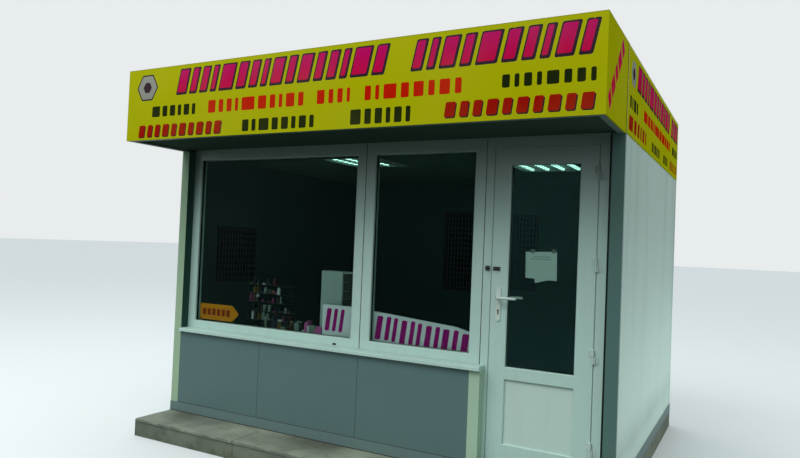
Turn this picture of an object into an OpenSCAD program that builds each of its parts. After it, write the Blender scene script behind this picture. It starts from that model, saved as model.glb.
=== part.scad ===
// Street kiosk with a sign canopy, for one trader behind a shop window.
// Millimetres, +Z up, front towards -Y, origin at the middle of the bottom.

/* [Body] */
// Width over the outer faces of the side walls
body_w = 4000; // [3600:20:4600]
// Depth from the front plane to the outer face of the back wall
body_d = 3000; // [2600:20:3600]
// Height of the wall panels' top above the plinth
wall_top = 2410; // [2360:10:2600]
// Thickness of the sandwich panels
wall_t = 80; // [60:5:100]
// Width of one side wall panel module
side_module = 1000; // [850:10:1150]
// Width of one back wall panel module
back_module = 1000; // [850:10:1150]
// Shadow gap between two wall panels
panel_gap = 3; // [1:0.5:5]

/* [Base] */
// Height of the concrete plinth
plinth_h = 150; // [100:10:300]
// Reach of the plinth in front of the walls
plinth_reach = 400; // [200:10:560]
// Height of the welded base frame
base_h = 85; // [60:5:140]
// Width of a base frame beam
base_beam_w = 160; // [155:5:220]
// How far the base frame stands proud of the panels
base_proud = 5; // [3:1:10]
// Thickness of the floor deck
floor_t = 15; // [12:1:18]

/* [Parapet] */
// Height of the parapet panels' top above the plinth
parapet_top = 745; // [600:5:900]
// Width of the middle parapet panel
parapet_module = 1000; // [850:10:1150]
// Width of the parapet panel beside the door
parapet_last_w = 1027; // [800:1:1150]
// Distance the parapet runs past the edge of the door unit
parapet_overlap = 35; // [20:1:40]
// Width of the trim on the parapet's open end
end_trim_w = 82; // [60:1:100]
// Size of the steel tubes behind the parapet
post_size = 60; // [50:5:70]
// Depth of the ledge inside, under the windows
ledge_w = 200; // [120:10:300]

/* [Windows and door] */
// Width of the right window
right_window_w = 1034; // [900:2:1100]
// Width of the door unit
door_unit_w = 878; // [840:2:960]
// Width of the steel post beside the door
door_post_w = 30; // [20:2:50]
// Depth of the plastic frames
frame_depth = 70; // [66:1:82]
// Face width of a window frame member
window_face = 88; // [76:1:100]
// Height of the steel rail over the windows and the door
head_rail_h = 30; // [20:5:40]
// Height of the window frames' bottom above the parapet panels' top
window_lift = 8; // [0:1:20]
// Face width of a door frame member
door_frame_face = 62; // [55:1:70]
// Face width of a door leaf member
leaf_face = 125; // [105:1:135]
// Thickness of the door leaf
leaf_t = 54; // [50:1:56]
// Gap round the door leaf
door_gap = 6; // [6:0.5:8]
// Face height of the leaf's middle rail
mid_rail_h = 92; // [80:1:110]
// Height of the middle rail's centre above the plinth
mid_rail_z = 732; // [600:5:900]
// Thickness of the glass units and of the door's lower panel
glazing_t = 24; // [20:1:28]

/* [Door fittings] */
// Number of door hinges
hinge_count = 4; // [2:1:5]
// Height of the lowest hinge's centre above the plinth
hinge_first_z = 300; // [260:5:400]
// Length of one hinge
hinge_l = 95; // [70:5:120]
// Outer radius of a hinge knuckle
knuckle_r = 8; // [7:0.5:9]
// Height of the lever's spindle above the plinth
lever_z = 1268; // [1000:1:1300]
// Length of the lever
lever_l = 145; // [100:1:160]
// Distance of the spindle from the leaf's free edge
lever_setback = 61; // [55:1:90]
// Height of the padlock ears above the plinth
hasp_z = 1475; // [1430:5:1600]

/* [Roof] */
// Reach of the canopy in front of the walls
canopy_reach = 640; // [560:10:800]
// Height of the sign boards
fascia_h = 600; // [450:10:750]
// Thickness of the sign boards
fascia_t = 10; // [4:1:12]
// Size of the roof frame's square tubes
tube = 40; // [30:5:50]
// Thickness of the roof panels
roof_t = 80; // [60:5:100]
// Fall of the roof towards the back, in degrees
roof_fall = 1.2; // [0.6:0.1:2]
// Reach of the roof panels past the back wall
back_eave = 40; // [30:5:80]
// Number of roof panels
roof_count = 4; // [3:1:6]

/* [Hidden] */
$fn = 48;
total_d = canopy_reach + body_d + back_eave;
front_y = canopy_reach - total_d / 2;
half_w = body_w / 2;
inner_x = half_w - wall_t;
sheet_t = 2;
unit_gap = 2;
past = 1;
plinth_chamfer = 12;

// Joint of the sandwich panels
tongue_w = 20;
tongue_d = 14;
tongue_clear = 1;

// Folded trims and the sill
trim_leg = 30;
rear_trim_leg = 60;
sill_nose = 28;
sill_back_h = 27;
sill_front_h = 17;
sill_bevel = 4;
sill_drop = 5;
sill_lip = 6;
sill_over = 4;

// Posts behind the parapet, and the ledge that their brackets carry
parapet_posts = 3;
ledge_t = 22;
bracket_w = 40;
bracket_t = 4;
bracket_h = 120;
bracket_setback = 30;
gusset_t = 6;
gusset_nose = 15;

// Places across the front, from the left wall to the right one
door_unit_x = inner_x - door_post_w - door_unit_w;
right_window_x = door_unit_x - right_window_w;
left_window_w = right_window_x + inner_x;
parapet_end = door_unit_x + parapet_overlap;
parapet_joint_2 = parapet_end - parapet_last_w;
parapet_joint_1 = parapet_joint_2 - parapet_module;

// Levels of the front, above the plinth
floor_top = base_h + floor_t;
window_bottom = parapet_top + window_lift;
ring_z = wall_top;
ring_top = ring_z + tube;
head_top = ring_top - head_rail_h;

// Leaf of the door, from its edges to its glass
leaf_x0 = door_unit_x + unit_gap / 2 + door_frame_face + door_gap;
leaf_x1 = door_unit_x + door_unit_w - unit_gap / 2 - door_frame_face - door_gap;
leaf_z0 = floor_top + door_gap;
leaf_z1 = head_top - door_frame_face - door_gap;
leaf_w = leaf_x1 - leaf_x0;
leaf_h = leaf_z1 - leaf_z0;
rail_z = mid_rail_z - leaf_z0;
rebate_d = leaf_t + door_gap;
stop_w = 14;
leaf_step = 6;
leaf_lip = 18;
threshold_bevel = 4;
threshold_rise = 16;
door_frame_bevel = 2;
door_post_setback = 30;

// Glazing groove and bead shared by windows and door
groove = 18;
groove_clear = 3;
window_setback = 20;
leaf_setback = 16;
glazing_bevel = 5;
bead_w = 24;
bead_bevel = 4;
bead_step = 1.5;

// Hinge and lever axes
hinge_x = leaf_x1 + door_gap / 2;
hinge_out = 11;
hinge_pitch = (leaf_z1 - leaf_z0 - 2 * (hinge_first_z - leaf_z0)) / (hinge_count - 1);
knuckle_gap = 1.5;
pin_r = 4;
pin_clear = 0.3;
flag_w = 34;
flag_t = 4;
web_w = 14;
web_t = 3;
lever_x = leaf_x0 + lever_setback;
lever_r = 9;
lever_root = 2;
neck_r = 11;
neck_clear = 0.4;
lever_out = 50;
plate_t = 9;
plate_w = 32;
plate_h = 242;
lock_drop = 92;
lock_r = 8.5;
lock_leg_r = 5;
lock_leg_drop = 24.5;
lock_clear = 0.3;
lock_proud = 3;
spindle_r = 4.5;
spindle_clear = 1;

// Ears for a padlock, one on the leaf's free stile and one on the frame beside it
ear_t = 3;
leaf_ear_w = 58;
leaf_ear_h = 28;
leaf_ear_setback = 8;
frame_ear_size = 38;
frame_ear_setback = 6;
staple_r = 13;
staple_bar_r = 4;
staple_out = 14;

// Levels and edges of the roof
soffit_t = 20;
ceiling_t = 12;
ceiling_drop = 25;
ceiling_z = wall_top - ceiling_drop;
fascia_top = wall_top + fascia_h;
board_setback = 1;
capping_over = 5;
capping_leg = 25;
capping_leg_t = 3;
board_top = fascia_top - sheet_t;
board_x = half_w - board_setback;
board_front = board_setback - canopy_reach;
frame_x = board_x - fascia_t;
frame_front = board_front + fascia_t;
tube_in_x = frame_x - tube;
tube_in_front = frame_front + tube;
roof_clear = 5;
roof_x = tube_in_x - roof_clear;
rib_h = 30;
rib_foot = 60;
rib_top = 24;
ribs_a_panel = 4;
bearer_clear = 0.3;
bearer_setback = 10;

// Louvre lamps in the ceiling, by the middle of each
lamp_w = 600;
lamp_places = [[-520, 900], [1050, 1520]];
lamp_h = 50;
lamp_wall = 4;
lamp_tube_r = 13;
lamp_tubes = 4;
louvres = 7;
louvre_t = 2;
louvre_h = 20;

// Height of the roof panels' underside above the roof frame at a place y
function roof_rise(y) = (body_d - y) * tan(roof_fall);

// Places the kiosk's own frame: x across, y from the front plane, z from the plinth's top
module on_plinth() {
    translate([0, front_y, plinth_h]) children();
}

// Box from its low corner to its high corner
module box(low, high) {
    translate(low) cube(high - low);
}

// Outline of one sandwich panel in plan: outer face at y = 0, tongue at x = w
module panel_outline(w, has_groove, has_tongue) {
    difference() {
        union() {
            square([w, wall_t]);
            if (has_tongue)
                translate([w - past, (wall_t - tongue_w) / 2]) square([tongue_d + past, tongue_w]);
        }
        if (has_groove)
            translate([-past, (wall_t - tongue_w) / 2 - tongue_clear])
                square([tongue_d - panel_gap + tongue_clear + past, tongue_w + 2 * tongue_clear]);
    }
}

module wall_panel(w, h, has_groove, has_tongue) {
    linear_extrude(h) panel_outline(w, has_groove, has_tongue);
}

// One panel of a side wall or of the back wall, counted from its first cut edge
module panel_in_row(index, module_w, total_w, last) {
    start = index * module_w;
    w = (index == last ? total_w : (index + 1) * module_w - panel_gap) - start;
    translate([start, 0, base_h])
        wall_panel(w, wall_top - base_h, index > 0, index < last);
}

module left_panel(index) {
    color([0.86, 0.89, 0.87]) on_plinth()
        translate([-half_w, body_d, 0]) rotate([0, 0, -90])
            panel_in_row(2 - index, side_module, body_d, 2);
}

module right_panel(index) {
    color([0.86, 0.89, 0.87]) on_plinth()
        translate([half_w, 0, 0]) rotate([0, 0, 90])
            panel_in_row(index, side_module, body_d, 2);
}

module back_panel(index) {
    color([0.86, 0.89, 0.87]) on_plinth()
        translate([inner_x, body_d, 0]) rotate([0, 0, 180])
            panel_in_row(index, back_module, 2 * inner_x, 3);
}

module parapet_panel(x0, x1, has_groove, has_tongue) {
    color([0.36, 0.45, 0.46]) on_plinth()
        translate([x0, 0, base_h])
            wall_panel(x1 - x0, parapet_top - base_h, has_groove, has_tongue);
}

// Opening in a frame, from its low corner [x, z] to its high one: at each depth of the edge,
// given as [widening, depth], it is wider by that much on every side, so its corners are mitred
module opening(low, high, edge) {
    reach = max([for (e = edge) abs(e[0])]) + past;
    back = [for (i = [len(edge) - 1 : -1 : 0]) edge[i]];
    intersection() {
        translate([0, 0, low[1] - reach]) linear_extrude(high[1] - low[1] + 2 * reach)
            polygon(concat(
                [for (e = edge) [low[0] - e[0], e[1]]], [for (e = back) [high[0] + e[0], e[1]]]
            ));
        translate([low[0] - reach, 0, 0]) rotate([90, 0, 90])
            linear_extrude(high[0] - low[0] + 2 * reach)
                polygon(concat(
                    [for (e = edge) [e[1], low[1] - e[0]]], [for (e = back) [e[1], high[1] + e[0]]]
                ));
    }
}

// Edge of a glazed opening: bevelled lip, glazing groove and inner bead
function glazing_edge(depth, setback) = [
    [glazing_bevel + past, -past], [0, glazing_bevel], [0, setback],
    [groove, setback], [groove, setback + glazing_t],
    [0, setback + glazing_t], [0, depth - bead_step - bead_bevel],
    [bead_bevel, depth - bead_step], [bead_w, depth - bead_step], [bead_w, depth + past]
];

module window_frame(x0, w) {
    h = head_top - window_bottom;
    outer_w = w - unit_gap;
    color([0.90, 0.93, 0.91]) on_plinth()
        translate([x0 + unit_gap / 2, wall_t, window_bottom])
            difference() {
                cube([outer_w, frame_depth, h]);
                opening([window_face, window_face], [outer_w - window_face, h - window_face],
                    glazing_edge(frame_depth, window_setback));
            }
}

module window_glass(x0, w) {
    edge = window_face - groove + groove_clear;
    color([0.55, 0.70, 0.68, 0.4]) on_plinth()
        box([x0 + unit_gap / 2 + edge, wall_t + window_setback, window_bottom + edge],
            [x0 + w - unit_gap / 2 - edge, wall_t + window_setback + glazing_t, head_top - edge]);
}

module plinth() {
    out_x = half_w + base_proud;
    color([0.58, 0.58, 0.55]) translate([-out_x, front_y, 0]) rotate([90, 0, 90])
        linear_extrude(2 * out_x)
            polygon([
                [-plinth_reach, 0], [body_d + base_proud, 0], [body_d + base_proud, plinth_h],
                [plinth_chamfer - plinth_reach, plinth_h], [-plinth_reach, plinth_h - plinth_chamfer]
            ]);
}

module base_frame() {
    out_x = half_w + base_proud;
    in_x = out_x - base_beam_w;
    color([0.42, 0.50, 0.52]) on_plinth() {
        difference() {
            box([-out_x, -base_proud, 0], [out_x, body_d + base_proud, base_h]);
            box([-in_x, base_beam_w - base_proud, -past],
                [in_x, body_d + base_proud - base_beam_w, base_h + past]);
        }
        for (i = [-1, 0, 1])
            translate([i * body_w / 4, 0, 0])
                box([-post_size / 2, base_beam_w - base_proud, 0],
                    [post_size / 2, body_d + base_proud - base_beam_w, base_h]);
    }
}

module floor_deck() {
    color([0.45, 0.38, 0.30]) on_plinth()
        box([-inner_x, wall_t + frame_depth, base_h], [inner_x, body_d - wall_t, floor_top]);
}

module parapet_end_trim() {
    color([0.80, 0.84, 0.72]) on_plinth() {
        box([parapet_end + sheet_t - end_trim_w, -sheet_t, base_h],
            [parapet_end + sheet_t, 0, parapet_top]);
        box([parapet_end, -sheet_t, base_h], [parapet_end + sheet_t, wall_t, parapet_top]);
    }
}

// Places things at each post behind the parapet: x from its middle, y from its inner face
module at_parapet_posts() {
    step = (door_unit_x + inner_x - post_size) / (parapet_posts - 1);
    for (i = [0 : parapet_posts - 1])
        translate([post_size / 2 - inner_x + i * step, wall_t + post_size, 0]) children();
}

module parapet_frame() {
    leg_top = window_bottom - post_size;
    color([0.50, 0.52, 0.53]) on_plinth() {
        box([-inner_x, wall_t, leg_top], [door_unit_x, wall_t + post_size, window_bottom]);
        at_parapet_posts() box([-post_size / 2, -post_size, base_h], [post_size / 2, 0, leg_top]);
    }
}

module window_ledge() {
    back_y = wall_t + post_size;
    color([0.90, 0.93, 0.91]) on_plinth()
        box([-inner_x, back_y, window_bottom - ledge_t], [door_unit_x, back_y + ledge_w, window_bottom]);
}

// Welded brackets: a plate on the post, a plate under the ledge and a gusset between them
module ledge_brackets() {
    reach = ledge_w - bracket_setback;
    color([0.50, 0.52, 0.53]) on_plinth() at_parapet_posts()
        translate([0, 0, window_bottom - ledge_t]) {
            box([-bracket_w / 2, 0, -bracket_h], [bracket_w / 2, bracket_t, 0]);
            box([-bracket_w / 2, 0, -bracket_t], [bracket_w / 2, reach, 0]);
            translate([-gusset_t / 2, 0, 0]) rotate([90, 0, 90])
                linear_extrude(gusset_t)
                    polygon([
                        [bracket_t / 2, -bracket_t / 2], [reach, -bracket_t / 2], [reach, -gusset_nose],
                        [gusset_nose, -bracket_h], [bracket_t / 2, -bracket_h]
                    ]);
        }
}

module window_sill() {
    color([0.90, 0.93, 0.91]) on_plinth()
        translate([-inner_x + sheet_t, 0, parapet_top]) rotate([90, 0, 90])
            linear_extrude(parapet_end + sill_over + inner_x - sheet_t)
                polygon([
                    [wall_t, 0], [wall_t, sill_back_h],
                    [sill_bevel - sill_nose, sill_front_h + sill_bevel], [-sill_nose, sill_front_h],
                    [-sill_nose, -sill_drop], [sill_lip - sill_nose, -sill_drop],
                    [sill_lip - sill_nose, 0]
                ]);
}

// Folded sheet round the front end of a side wall, outer face at x = half_w
module end_trim() {
    box([inner_x - sheet_t, -sheet_t, base_h], [half_w + sheet_t, 0, wall_top]);
    box([half_w, -sheet_t, base_h], [half_w + sheet_t, trim_leg, wall_top]);
}

module left_corner_trim() {
    color([0.82, 0.87, 0.78]) on_plinth() mirror([1, 0, 0]) end_trim();
}

module left_reveal_trim() {
    color([0.24, 0.29, 0.30]) on_plinth()
        box([-inner_x, 0, parapet_top + sill_back_h], [-inner_x + sheet_t, wall_t, wall_top]);
}

module right_corner_trim() {
    color([0.40, 0.49, 0.50]) on_plinth() {
        end_trim();
        box([inner_x - sheet_t, -sheet_t, base_h], [inner_x, wall_t, wall_top]);
    }
}

module back_corner_trims() {
    color([0.86, 0.89, 0.87]) on_plinth()
        for (side = [0, 1]) mirror([side, 0, 0]) {
            box([half_w, body_d - rear_trim_leg, base_h],
                [half_w + sheet_t, body_d + sheet_t, wall_top]);
            box([half_w - rear_trim_leg, body_d, base_h],
                [half_w + sheet_t, body_d + sheet_t, wall_top]);
        }
}

module front_frame() {
    color([0.20, 0.24, 0.25]) on_plinth() {
        box([-tube_in_x, wall_t, head_top], [tube_in_x, wall_t + post_size, ring_top]);
        box([inner_x - door_post_w, wall_t + door_post_setback, base_h],
            [inner_x, wall_t + post_size, head_top]);
    }
}

module door_frame() {
    w = door_unit_w - unit_gap;
    h = head_top - base_h;
    edge = [
        [door_frame_bevel + past, -past], [0, door_frame_bevel], [0, rebate_d],
        [-stop_w, rebate_d], [-stop_w, frame_depth + past]
    ];
    color([0.90, 0.93, 0.91]) on_plinth()
        translate([door_unit_x + unit_gap / 2, wall_t, base_h])
            difference() {
                cube([w, frame_depth, h]);
                opening([door_frame_face, -door_frame_face], [w - door_frame_face, h - door_frame_face],
                    edge);
            }
}

module door_threshold() {
    stop_y = wall_t + rebate_d;
    back_y = wall_t + frame_depth;
    stop_top = floor_top + threshold_rise;
    color([0.62, 0.64, 0.65]) on_plinth() {
        translate([leaf_x0 - door_gap, 0, 0]) rotate([90, 0, 90])
            linear_extrude(leaf_w + 2 * door_gap)
                polygon([
                    [wall_t, base_h], [stop_y, base_h], [stop_y, floor_top],
                    [wall_t + threshold_bevel, floor_top], [wall_t, floor_top - threshold_bevel]
                ]);
        translate([leaf_x0 - door_gap + stop_w, 0, 0]) rotate([90, 0, 90])
            linear_extrude(leaf_w + 2 * door_gap - 2 * stop_w)
                polygon([
                    [stop_y, base_h], [back_y, base_h], [back_y, stop_top - threshold_bevel],
                    [back_y - threshold_bevel, stop_top], [stop_y, stop_top]
                ]);
    }
}

// Profile of the lock, along the depth of the leaf
module lock_profile(grow) {
    circle(lock_r + grow);
    translate([-lock_leg_r - grow, -lock_leg_drop - grow])
        square([2 * (lock_leg_r + grow), lock_leg_drop + grow]);
    translate([0, -lock_leg_drop]) circle(lock_leg_r + grow);
}

// Places things on the leaf's outer face at the spindle: depth runs inwards along y
module at_lever() {
    translate([lever_x, wall_t, lever_z]) children();
}

// A straight solid along the depth, from depth v0 to depth v1
module through(v0, v1) {
    translate([0, v1, 0]) rotate([90, 0, 0]) linear_extrude(v1 - v0) children();
}

module door_leaf() {
    edge = glazing_edge(leaf_t, leaf_setback);
    rail_half = mid_rail_h / 2;
    color([0.90, 0.93, 0.91]) on_plinth()
        difference() {
            translate([leaf_x0, wall_t, leaf_z0])
                difference() {
                    union() {
                        cube([leaf_w, leaf_lip, leaf_h]);
                        box([leaf_step, leaf_lip / 2, leaf_step],
                            [leaf_w - leaf_step, leaf_t, leaf_h - leaf_step]);
                    }
                    opening([leaf_face, leaf_face], [leaf_w - leaf_face, rail_z - rail_half], edge);
                    opening([leaf_face, rail_z + rail_half], [leaf_w - leaf_face, leaf_h - leaf_face],
                        edge);
                }
            at_lever() {
                through(-past, leaf_t + past) circle(spindle_r + spindle_clear);
                translate([0, 0, -lock_drop])
                    through(-past, leaf_t + past) lock_profile(lock_clear);
            }
        }
}

// A pane in the leaf's glazing groove between two levels of the leaf
module leaf_infill(z0, z1) {
    edge = leaf_face - groove + groove_clear;
    translate([leaf_x0, wall_t + leaf_setback, leaf_z0])
        box([edge, 0, z0], [leaf_w - edge, glazing_t, z1]);
}

module door_glass() {
    color([0.55, 0.70, 0.68, 0.4]) on_plinth()
        leaf_infill(rail_z + mid_rail_h / 2 - groove + groove_clear,
            leaf_h - leaf_face + groove - groove_clear);
}

module door_panel() {
    color([0.88, 0.91, 0.89]) on_plinth()
        leaf_infill(leaf_face - groove + groove_clear,
            rail_z - mid_rail_h / 2 + groove - groove_clear);
}

// Repeats a hinge part at each hinge: x from the pin's axis, y from the faces, z from the middle
module at_hinges() {
    for (i = [0 : hinge_count - 1])
        translate([hinge_x, wall_t, hinge_first_z + i * hinge_pitch]) children();
}

// Flag of a hinge towards +x, with the half of the knuckle from z0 to z1
module hinge_flag(z0, z1) {
    translate([0, -hinge_out, z0]) cylinder(h = z1 - z0, r = knuckle_r);
    box([knuckle_r / 2, -hinge_out - web_t, z0], [web_w, 0, z1]);
    box([door_gap / 2, -flag_t, z0], [flag_w, 0, z1]);
}

module frame_hinges() {
    color([0.72, 0.76, 0.75]) on_plinth() at_hinges() {
        hinge_flag(-hinge_l / 2, -knuckle_gap / 2);
        translate([0, -hinge_out, -hinge_l / 2]) cylinder(h = hinge_l, r = pin_r);
    }
}

module leaf_hinges() {
    color([0.72, 0.76, 0.75]) on_plinth() at_hinges()
        difference() {
            mirror([1, 0, 0]) hinge_flag(knuckle_gap / 2, hinge_l / 2);
            translate([0, -hinge_out, 0]) cylinder(h = hinge_l, r = pin_r + pin_clear);
        }
}

// One lever with its neck, for the outside; the inside one is its mirror image
module lever_side() {
    translate([0, -lever_root, 0]) rotate([90, 0, 0]) cylinder(h = lever_out - lever_root, r = neck_r);
    translate([0, -lever_out, 0]) sphere(r = neck_r);
    translate([0, -lever_out, 0]) rotate([0, 90, 0])
        cylinder(h = lever_l - lever_r, r1 = neck_r, r2 = lever_r);
    translate([lever_l - lever_r, -lever_out, 0]) sphere(r = lever_r);
}

module door_lever() {
    color([0.86, 0.88, 0.87]) on_plinth() at_lever() {
        lever_side();
        translate([0, leaf_t, 0]) mirror([0, 1, 0]) lever_side();
        through(-lever_out, leaf_t + lever_out) circle(spindle_r);
    }
}

module plate_outline() {
    translate([0, -lock_drop / 2]) {
        square([plate_w, plate_h - plate_w], center = true);
        for (side = [-1, 1])
            translate([0, side * (plate_h - plate_w) / 2]) circle(plate_w / 2);
    }
}

module handle_plates() {
    color([0.86, 0.88, 0.87]) on_plinth() at_lever()
        difference() {
            union() {
                through(-plate_t, 0) plate_outline();
                through(leaf_t, leaf_t + plate_t) plate_outline();
            }
            through(-plate_t - past, leaf_t + plate_t + past) circle(neck_r + neck_clear);
            translate([0, 0, -lock_drop])
                through(-plate_t - past, leaf_t + plate_t + past) lock_profile(lock_clear);
        }
}

module lock_cylinder() {
    reach = plate_t + lock_proud;
    color([0.70, 0.66, 0.50]) on_plinth() at_lever()
        translate([0, 0, -lock_drop]) through(-reach, leaf_t + reach) lock_profile(0);
}

// Plate w wide and h high with a bow that stands out from it, for a padlock
module ear(w, h) {
    box([-w / 2, -ear_t, -h / 2], [w / 2, 0, h / 2]);
    translate([0, -staple_out, 0]) rotate([0, 0, 180])
        rotate_extrude(angle = 180) translate([staple_r, 0]) circle(staple_bar_r);
    for (side = [-1, 1])
        translate([side * staple_r, -ear_t / 2, 0]) rotate([90, 0, 0])
            cylinder(h = staple_out - ear_t / 2, r = staple_bar_r);
}

module hasp_staple() {
    color([0.16, 0.19, 0.19]) on_plinth()
        translate([leaf_x0 + leaf_ear_setback + leaf_ear_w / 2, wall_t, hasp_z])
            ear(leaf_ear_w, leaf_ear_h);
}

module frame_staple() {
    color([0.16, 0.19, 0.19]) on_plinth()
        translate([leaf_x0 - door_gap - frame_ear_setback - frame_ear_size / 2, wall_t, hasp_z])
            ear(frame_ear_size, frame_ear_size);
}

module canopy_frame() {
    color([0.75, 0.77, 0.76]) on_plinth()
        difference() {
            box([-frame_x, frame_front, ring_z], [frame_x, body_d, ring_top]);
            box([-tube_in_x, tube_in_front, ring_z - past], [tube_in_x, body_d - tube, ring_top + past]);
        }
}

module canopy_soffit() {
    color([0.30, 0.35, 0.36]) on_plinth()
        box([-tube_in_x, tube_in_front, ring_top - soffit_t], [tube_in_x, wall_t, ring_top]);
}

module ceiling() {
    color([0.85, 0.86, 0.84]) on_plinth()
        difference() {
            box([-inner_x, wall_t + frame_depth, ceiling_z],
                [inner_x, body_d - wall_t, ceiling_z + ceiling_t]);
            for (p = lamp_places)
                translate([p[0], p[1], ceiling_z]) cube([lamp_w, lamp_w, 3 * ceiling_t], center = true);
        }
}

module roof_bearers() {
    color([0.60, 0.62, 0.62]) on_plinth()
        for (y = [tube_in_front, wall_t + bearer_setback])
            box([-roof_x, y, ring_top],
                [roof_x, y + tube, ring_top + roof_rise(y + tube) - bearer_clear]);
}

// Section of one roof panel, with trapezoid ribs on its top
module roof_section(w) {
    pitch = w / ribs_a_panel;
    square([w, roof_t]);
    for (i = [0 : ribs_a_panel - 1])
        translate([(i + 0.5) * pitch, roof_t])
            polygon([
                [-rib_foot / 2, -past], [rib_foot / 2, -past], [rib_top / 2, rib_h], [-rib_top / 2, rib_h]
            ]);
}

module roof_panels() {
    pitch = 2 * roof_x / roof_count;
    length = body_d - tube_in_front - roof_clear;
    eave_run = (back_eave - (roof_t + rib_h) * sin(roof_fall)) / cos(roof_fall);
    color([0.80, 0.83, 0.82]) on_plinth()
        for (i = [0 : roof_count - 1])
            translate([-roof_x + i * pitch + panel_gap / 2, body_d, ring_top])
                rotate([-roof_fall, 0, 0])
                    translate([0, eave_run, 0]) rotate([90, 0, 0])
                        linear_extrude(length + eave_run) roof_section(pitch - panel_gap);
}

// Rail of square tubes behind the tops of the sign boards, on posts
module fascia_frame() {
    side_posts = 4;
    front_posts = 3;
    rail_z0 = board_top - tube;
    side_step = (body_d - tube - frame_front) / (side_posts - 1);
    front_step = (2 * frame_x - tube) / (front_posts + 1);
    color([0.75, 0.77, 0.76]) on_plinth() {
        difference() {
            box([-frame_x, frame_front, rail_z0], [frame_x, body_d, board_top]);
            box([-tube_in_x, tube_in_front, rail_z0 - past], [tube_in_x, body_d + past, board_top + past]);
        }
        for (x = [-frame_x, tube_in_x])
            for (i = [0 : side_posts - 1])
                translate([x, frame_front + i * side_step, ring_top])
                    cube([tube, tube, rail_z0 - ring_top]);
        for (i = [1 : front_posts])
            translate([-frame_x + i * front_step, frame_front, ring_top])
                cube([tube, tube, rail_z0 - ring_top]);
    }
}

module fascia_front() {
    color([0.93, 0.86, 0.10]) on_plinth()
        box([-board_x, board_front, wall_top], [board_x, frame_front, board_top]);
}

module fascia_side() {
    box([frame_x, frame_front, wall_top], [board_x, body_d, board_top]);
}

module fascia_left() {
    color([0.93, 0.86, 0.10]) on_plinth() mirror([1, 0, 0]) fascia_side();
}

module fascia_right() {
    color([0.93, 0.86, 0.10]) on_plinth() fascia_side();
}

// Folded sheet over the tops of the boards, with a leg down behind the rail
module fascia_capping() {
    cap_w = board_setback + fascia_t + tube + capping_over;
    leg_w = cap_w - capping_leg_t;
    color([0.80, 0.84, 0.82]) on_plinth() {
        difference() {
            box([-half_w, -canopy_reach, board_top], [half_w, body_d, fascia_top]);
            box([cap_w - half_w, cap_w - canopy_reach, board_top - past],
                [half_w - cap_w, body_d + past, fascia_top + past]);
        }
        difference() {
            box([leg_w - half_w, leg_w - canopy_reach, board_top - capping_leg],
                [half_w - leg_w, body_d, board_top]);
            box([cap_w - half_w, cap_w - canopy_reach, board_top - capping_leg - past],
                [half_w - cap_w, body_d + past, board_top + past]);
        }
    }
}

// Tray with tubes and cross louvres, its open side down at z = 0
module louvre_lamp() {
    open_w = lamp_w - 2 * lamp_wall;
    tube_z = lamp_h - lamp_wall - louvre_h / 4 - lamp_tube_r;
    difference() {
        translate([-lamp_w / 2, -lamp_w / 2, 0]) cube([lamp_w, lamp_w, lamp_h]);
        translate([-open_w / 2, -open_w / 2, -past]) cube([open_w, open_w, lamp_h - lamp_wall + past]);
    }
    for (i = [0 : lamp_tubes - 1])
        translate([(i - (lamp_tubes - 1) / 2) * open_w / lamp_tubes, open_w / 2 + past, tube_z])
            rotate([90, 0, 0]) cylinder(h = open_w + 2 * past, r = lamp_tube_r);
    for (i = [0 : louvres - 1])
        translate([-open_w / 2 - past, (i - (louvres - 1) / 2) * open_w / louvres - louvre_t / 2, 0])
            cube([open_w + 2 * past, louvre_t, louvre_h]);
}

module ceiling_lamps() {
    color([0.93, 0.96, 0.95]) on_plinth()
        for (p = lamp_places)
            translate([p[0], p[1], ceiling_z]) louvre_lamp();
}

plinth();
base_frame();
floor_deck();
left_panel(0);  // left_wall_front
left_panel(1);  // left_wall_middle
left_panel(2);  // left_wall_rear
right_panel(0);  // right_wall_front
right_panel(1);  // right_wall_middle
right_panel(2);  // right_wall_rear
back_panel(0);  // back_wall_first
back_panel(1);  // back_wall_second
back_panel(2);  // back_wall_third
back_panel(3);  // back_wall_fourth
parapet_panel(-inner_x, parapet_joint_1 - panel_gap, false, true);  // parapet_left
parapet_panel(parapet_joint_1, parapet_joint_2 - panel_gap, true, true);  // parapet_middle
parapet_panel(parapet_joint_2, parapet_end, true, false);  // parapet_right
parapet_end_trim();
parapet_frame();
window_sill();
window_ledge();
ledge_brackets();
left_corner_trim();
left_reveal_trim();
right_corner_trim();
back_corner_trims();
front_frame();
window_frame(-inner_x, left_window_w);  // window_frame_left
window_frame(right_window_x, right_window_w);  // window_frame_right
window_glass(-inner_x, left_window_w);  // window_glass_left
window_glass(right_window_x, right_window_w);  // window_glass_right
door_frame();
door_threshold();
door_leaf();
door_glass();
door_panel();
frame_hinges();
leaf_hinges();
door_lever();
handle_plates();
lock_cylinder();
hasp_staple();
frame_staple();
canopy_frame();
canopy_soffit();
ceiling();
roof_bearers();
roof_panels();
fascia_frame();
fascia_front();
fascia_left();
fascia_right();
fascia_capping();
ceiling_lamps();
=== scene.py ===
# %% [markdown]
# # A street kiosk, dressed step by step
#
# A small kiosk stands on a concrete plinth: walls of insulated panels, a shop front of white plastic
# windows with a glazed door, and yellow sign boards round a deep canopy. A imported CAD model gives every
# solid its exact place. This lesson gives each solid its finish and makes the small pieces that the CAD
# model leaves out.

# %% Load the frame
import math

import bmesh
import bpy
from mathutils import Matrix, Vector


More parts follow.
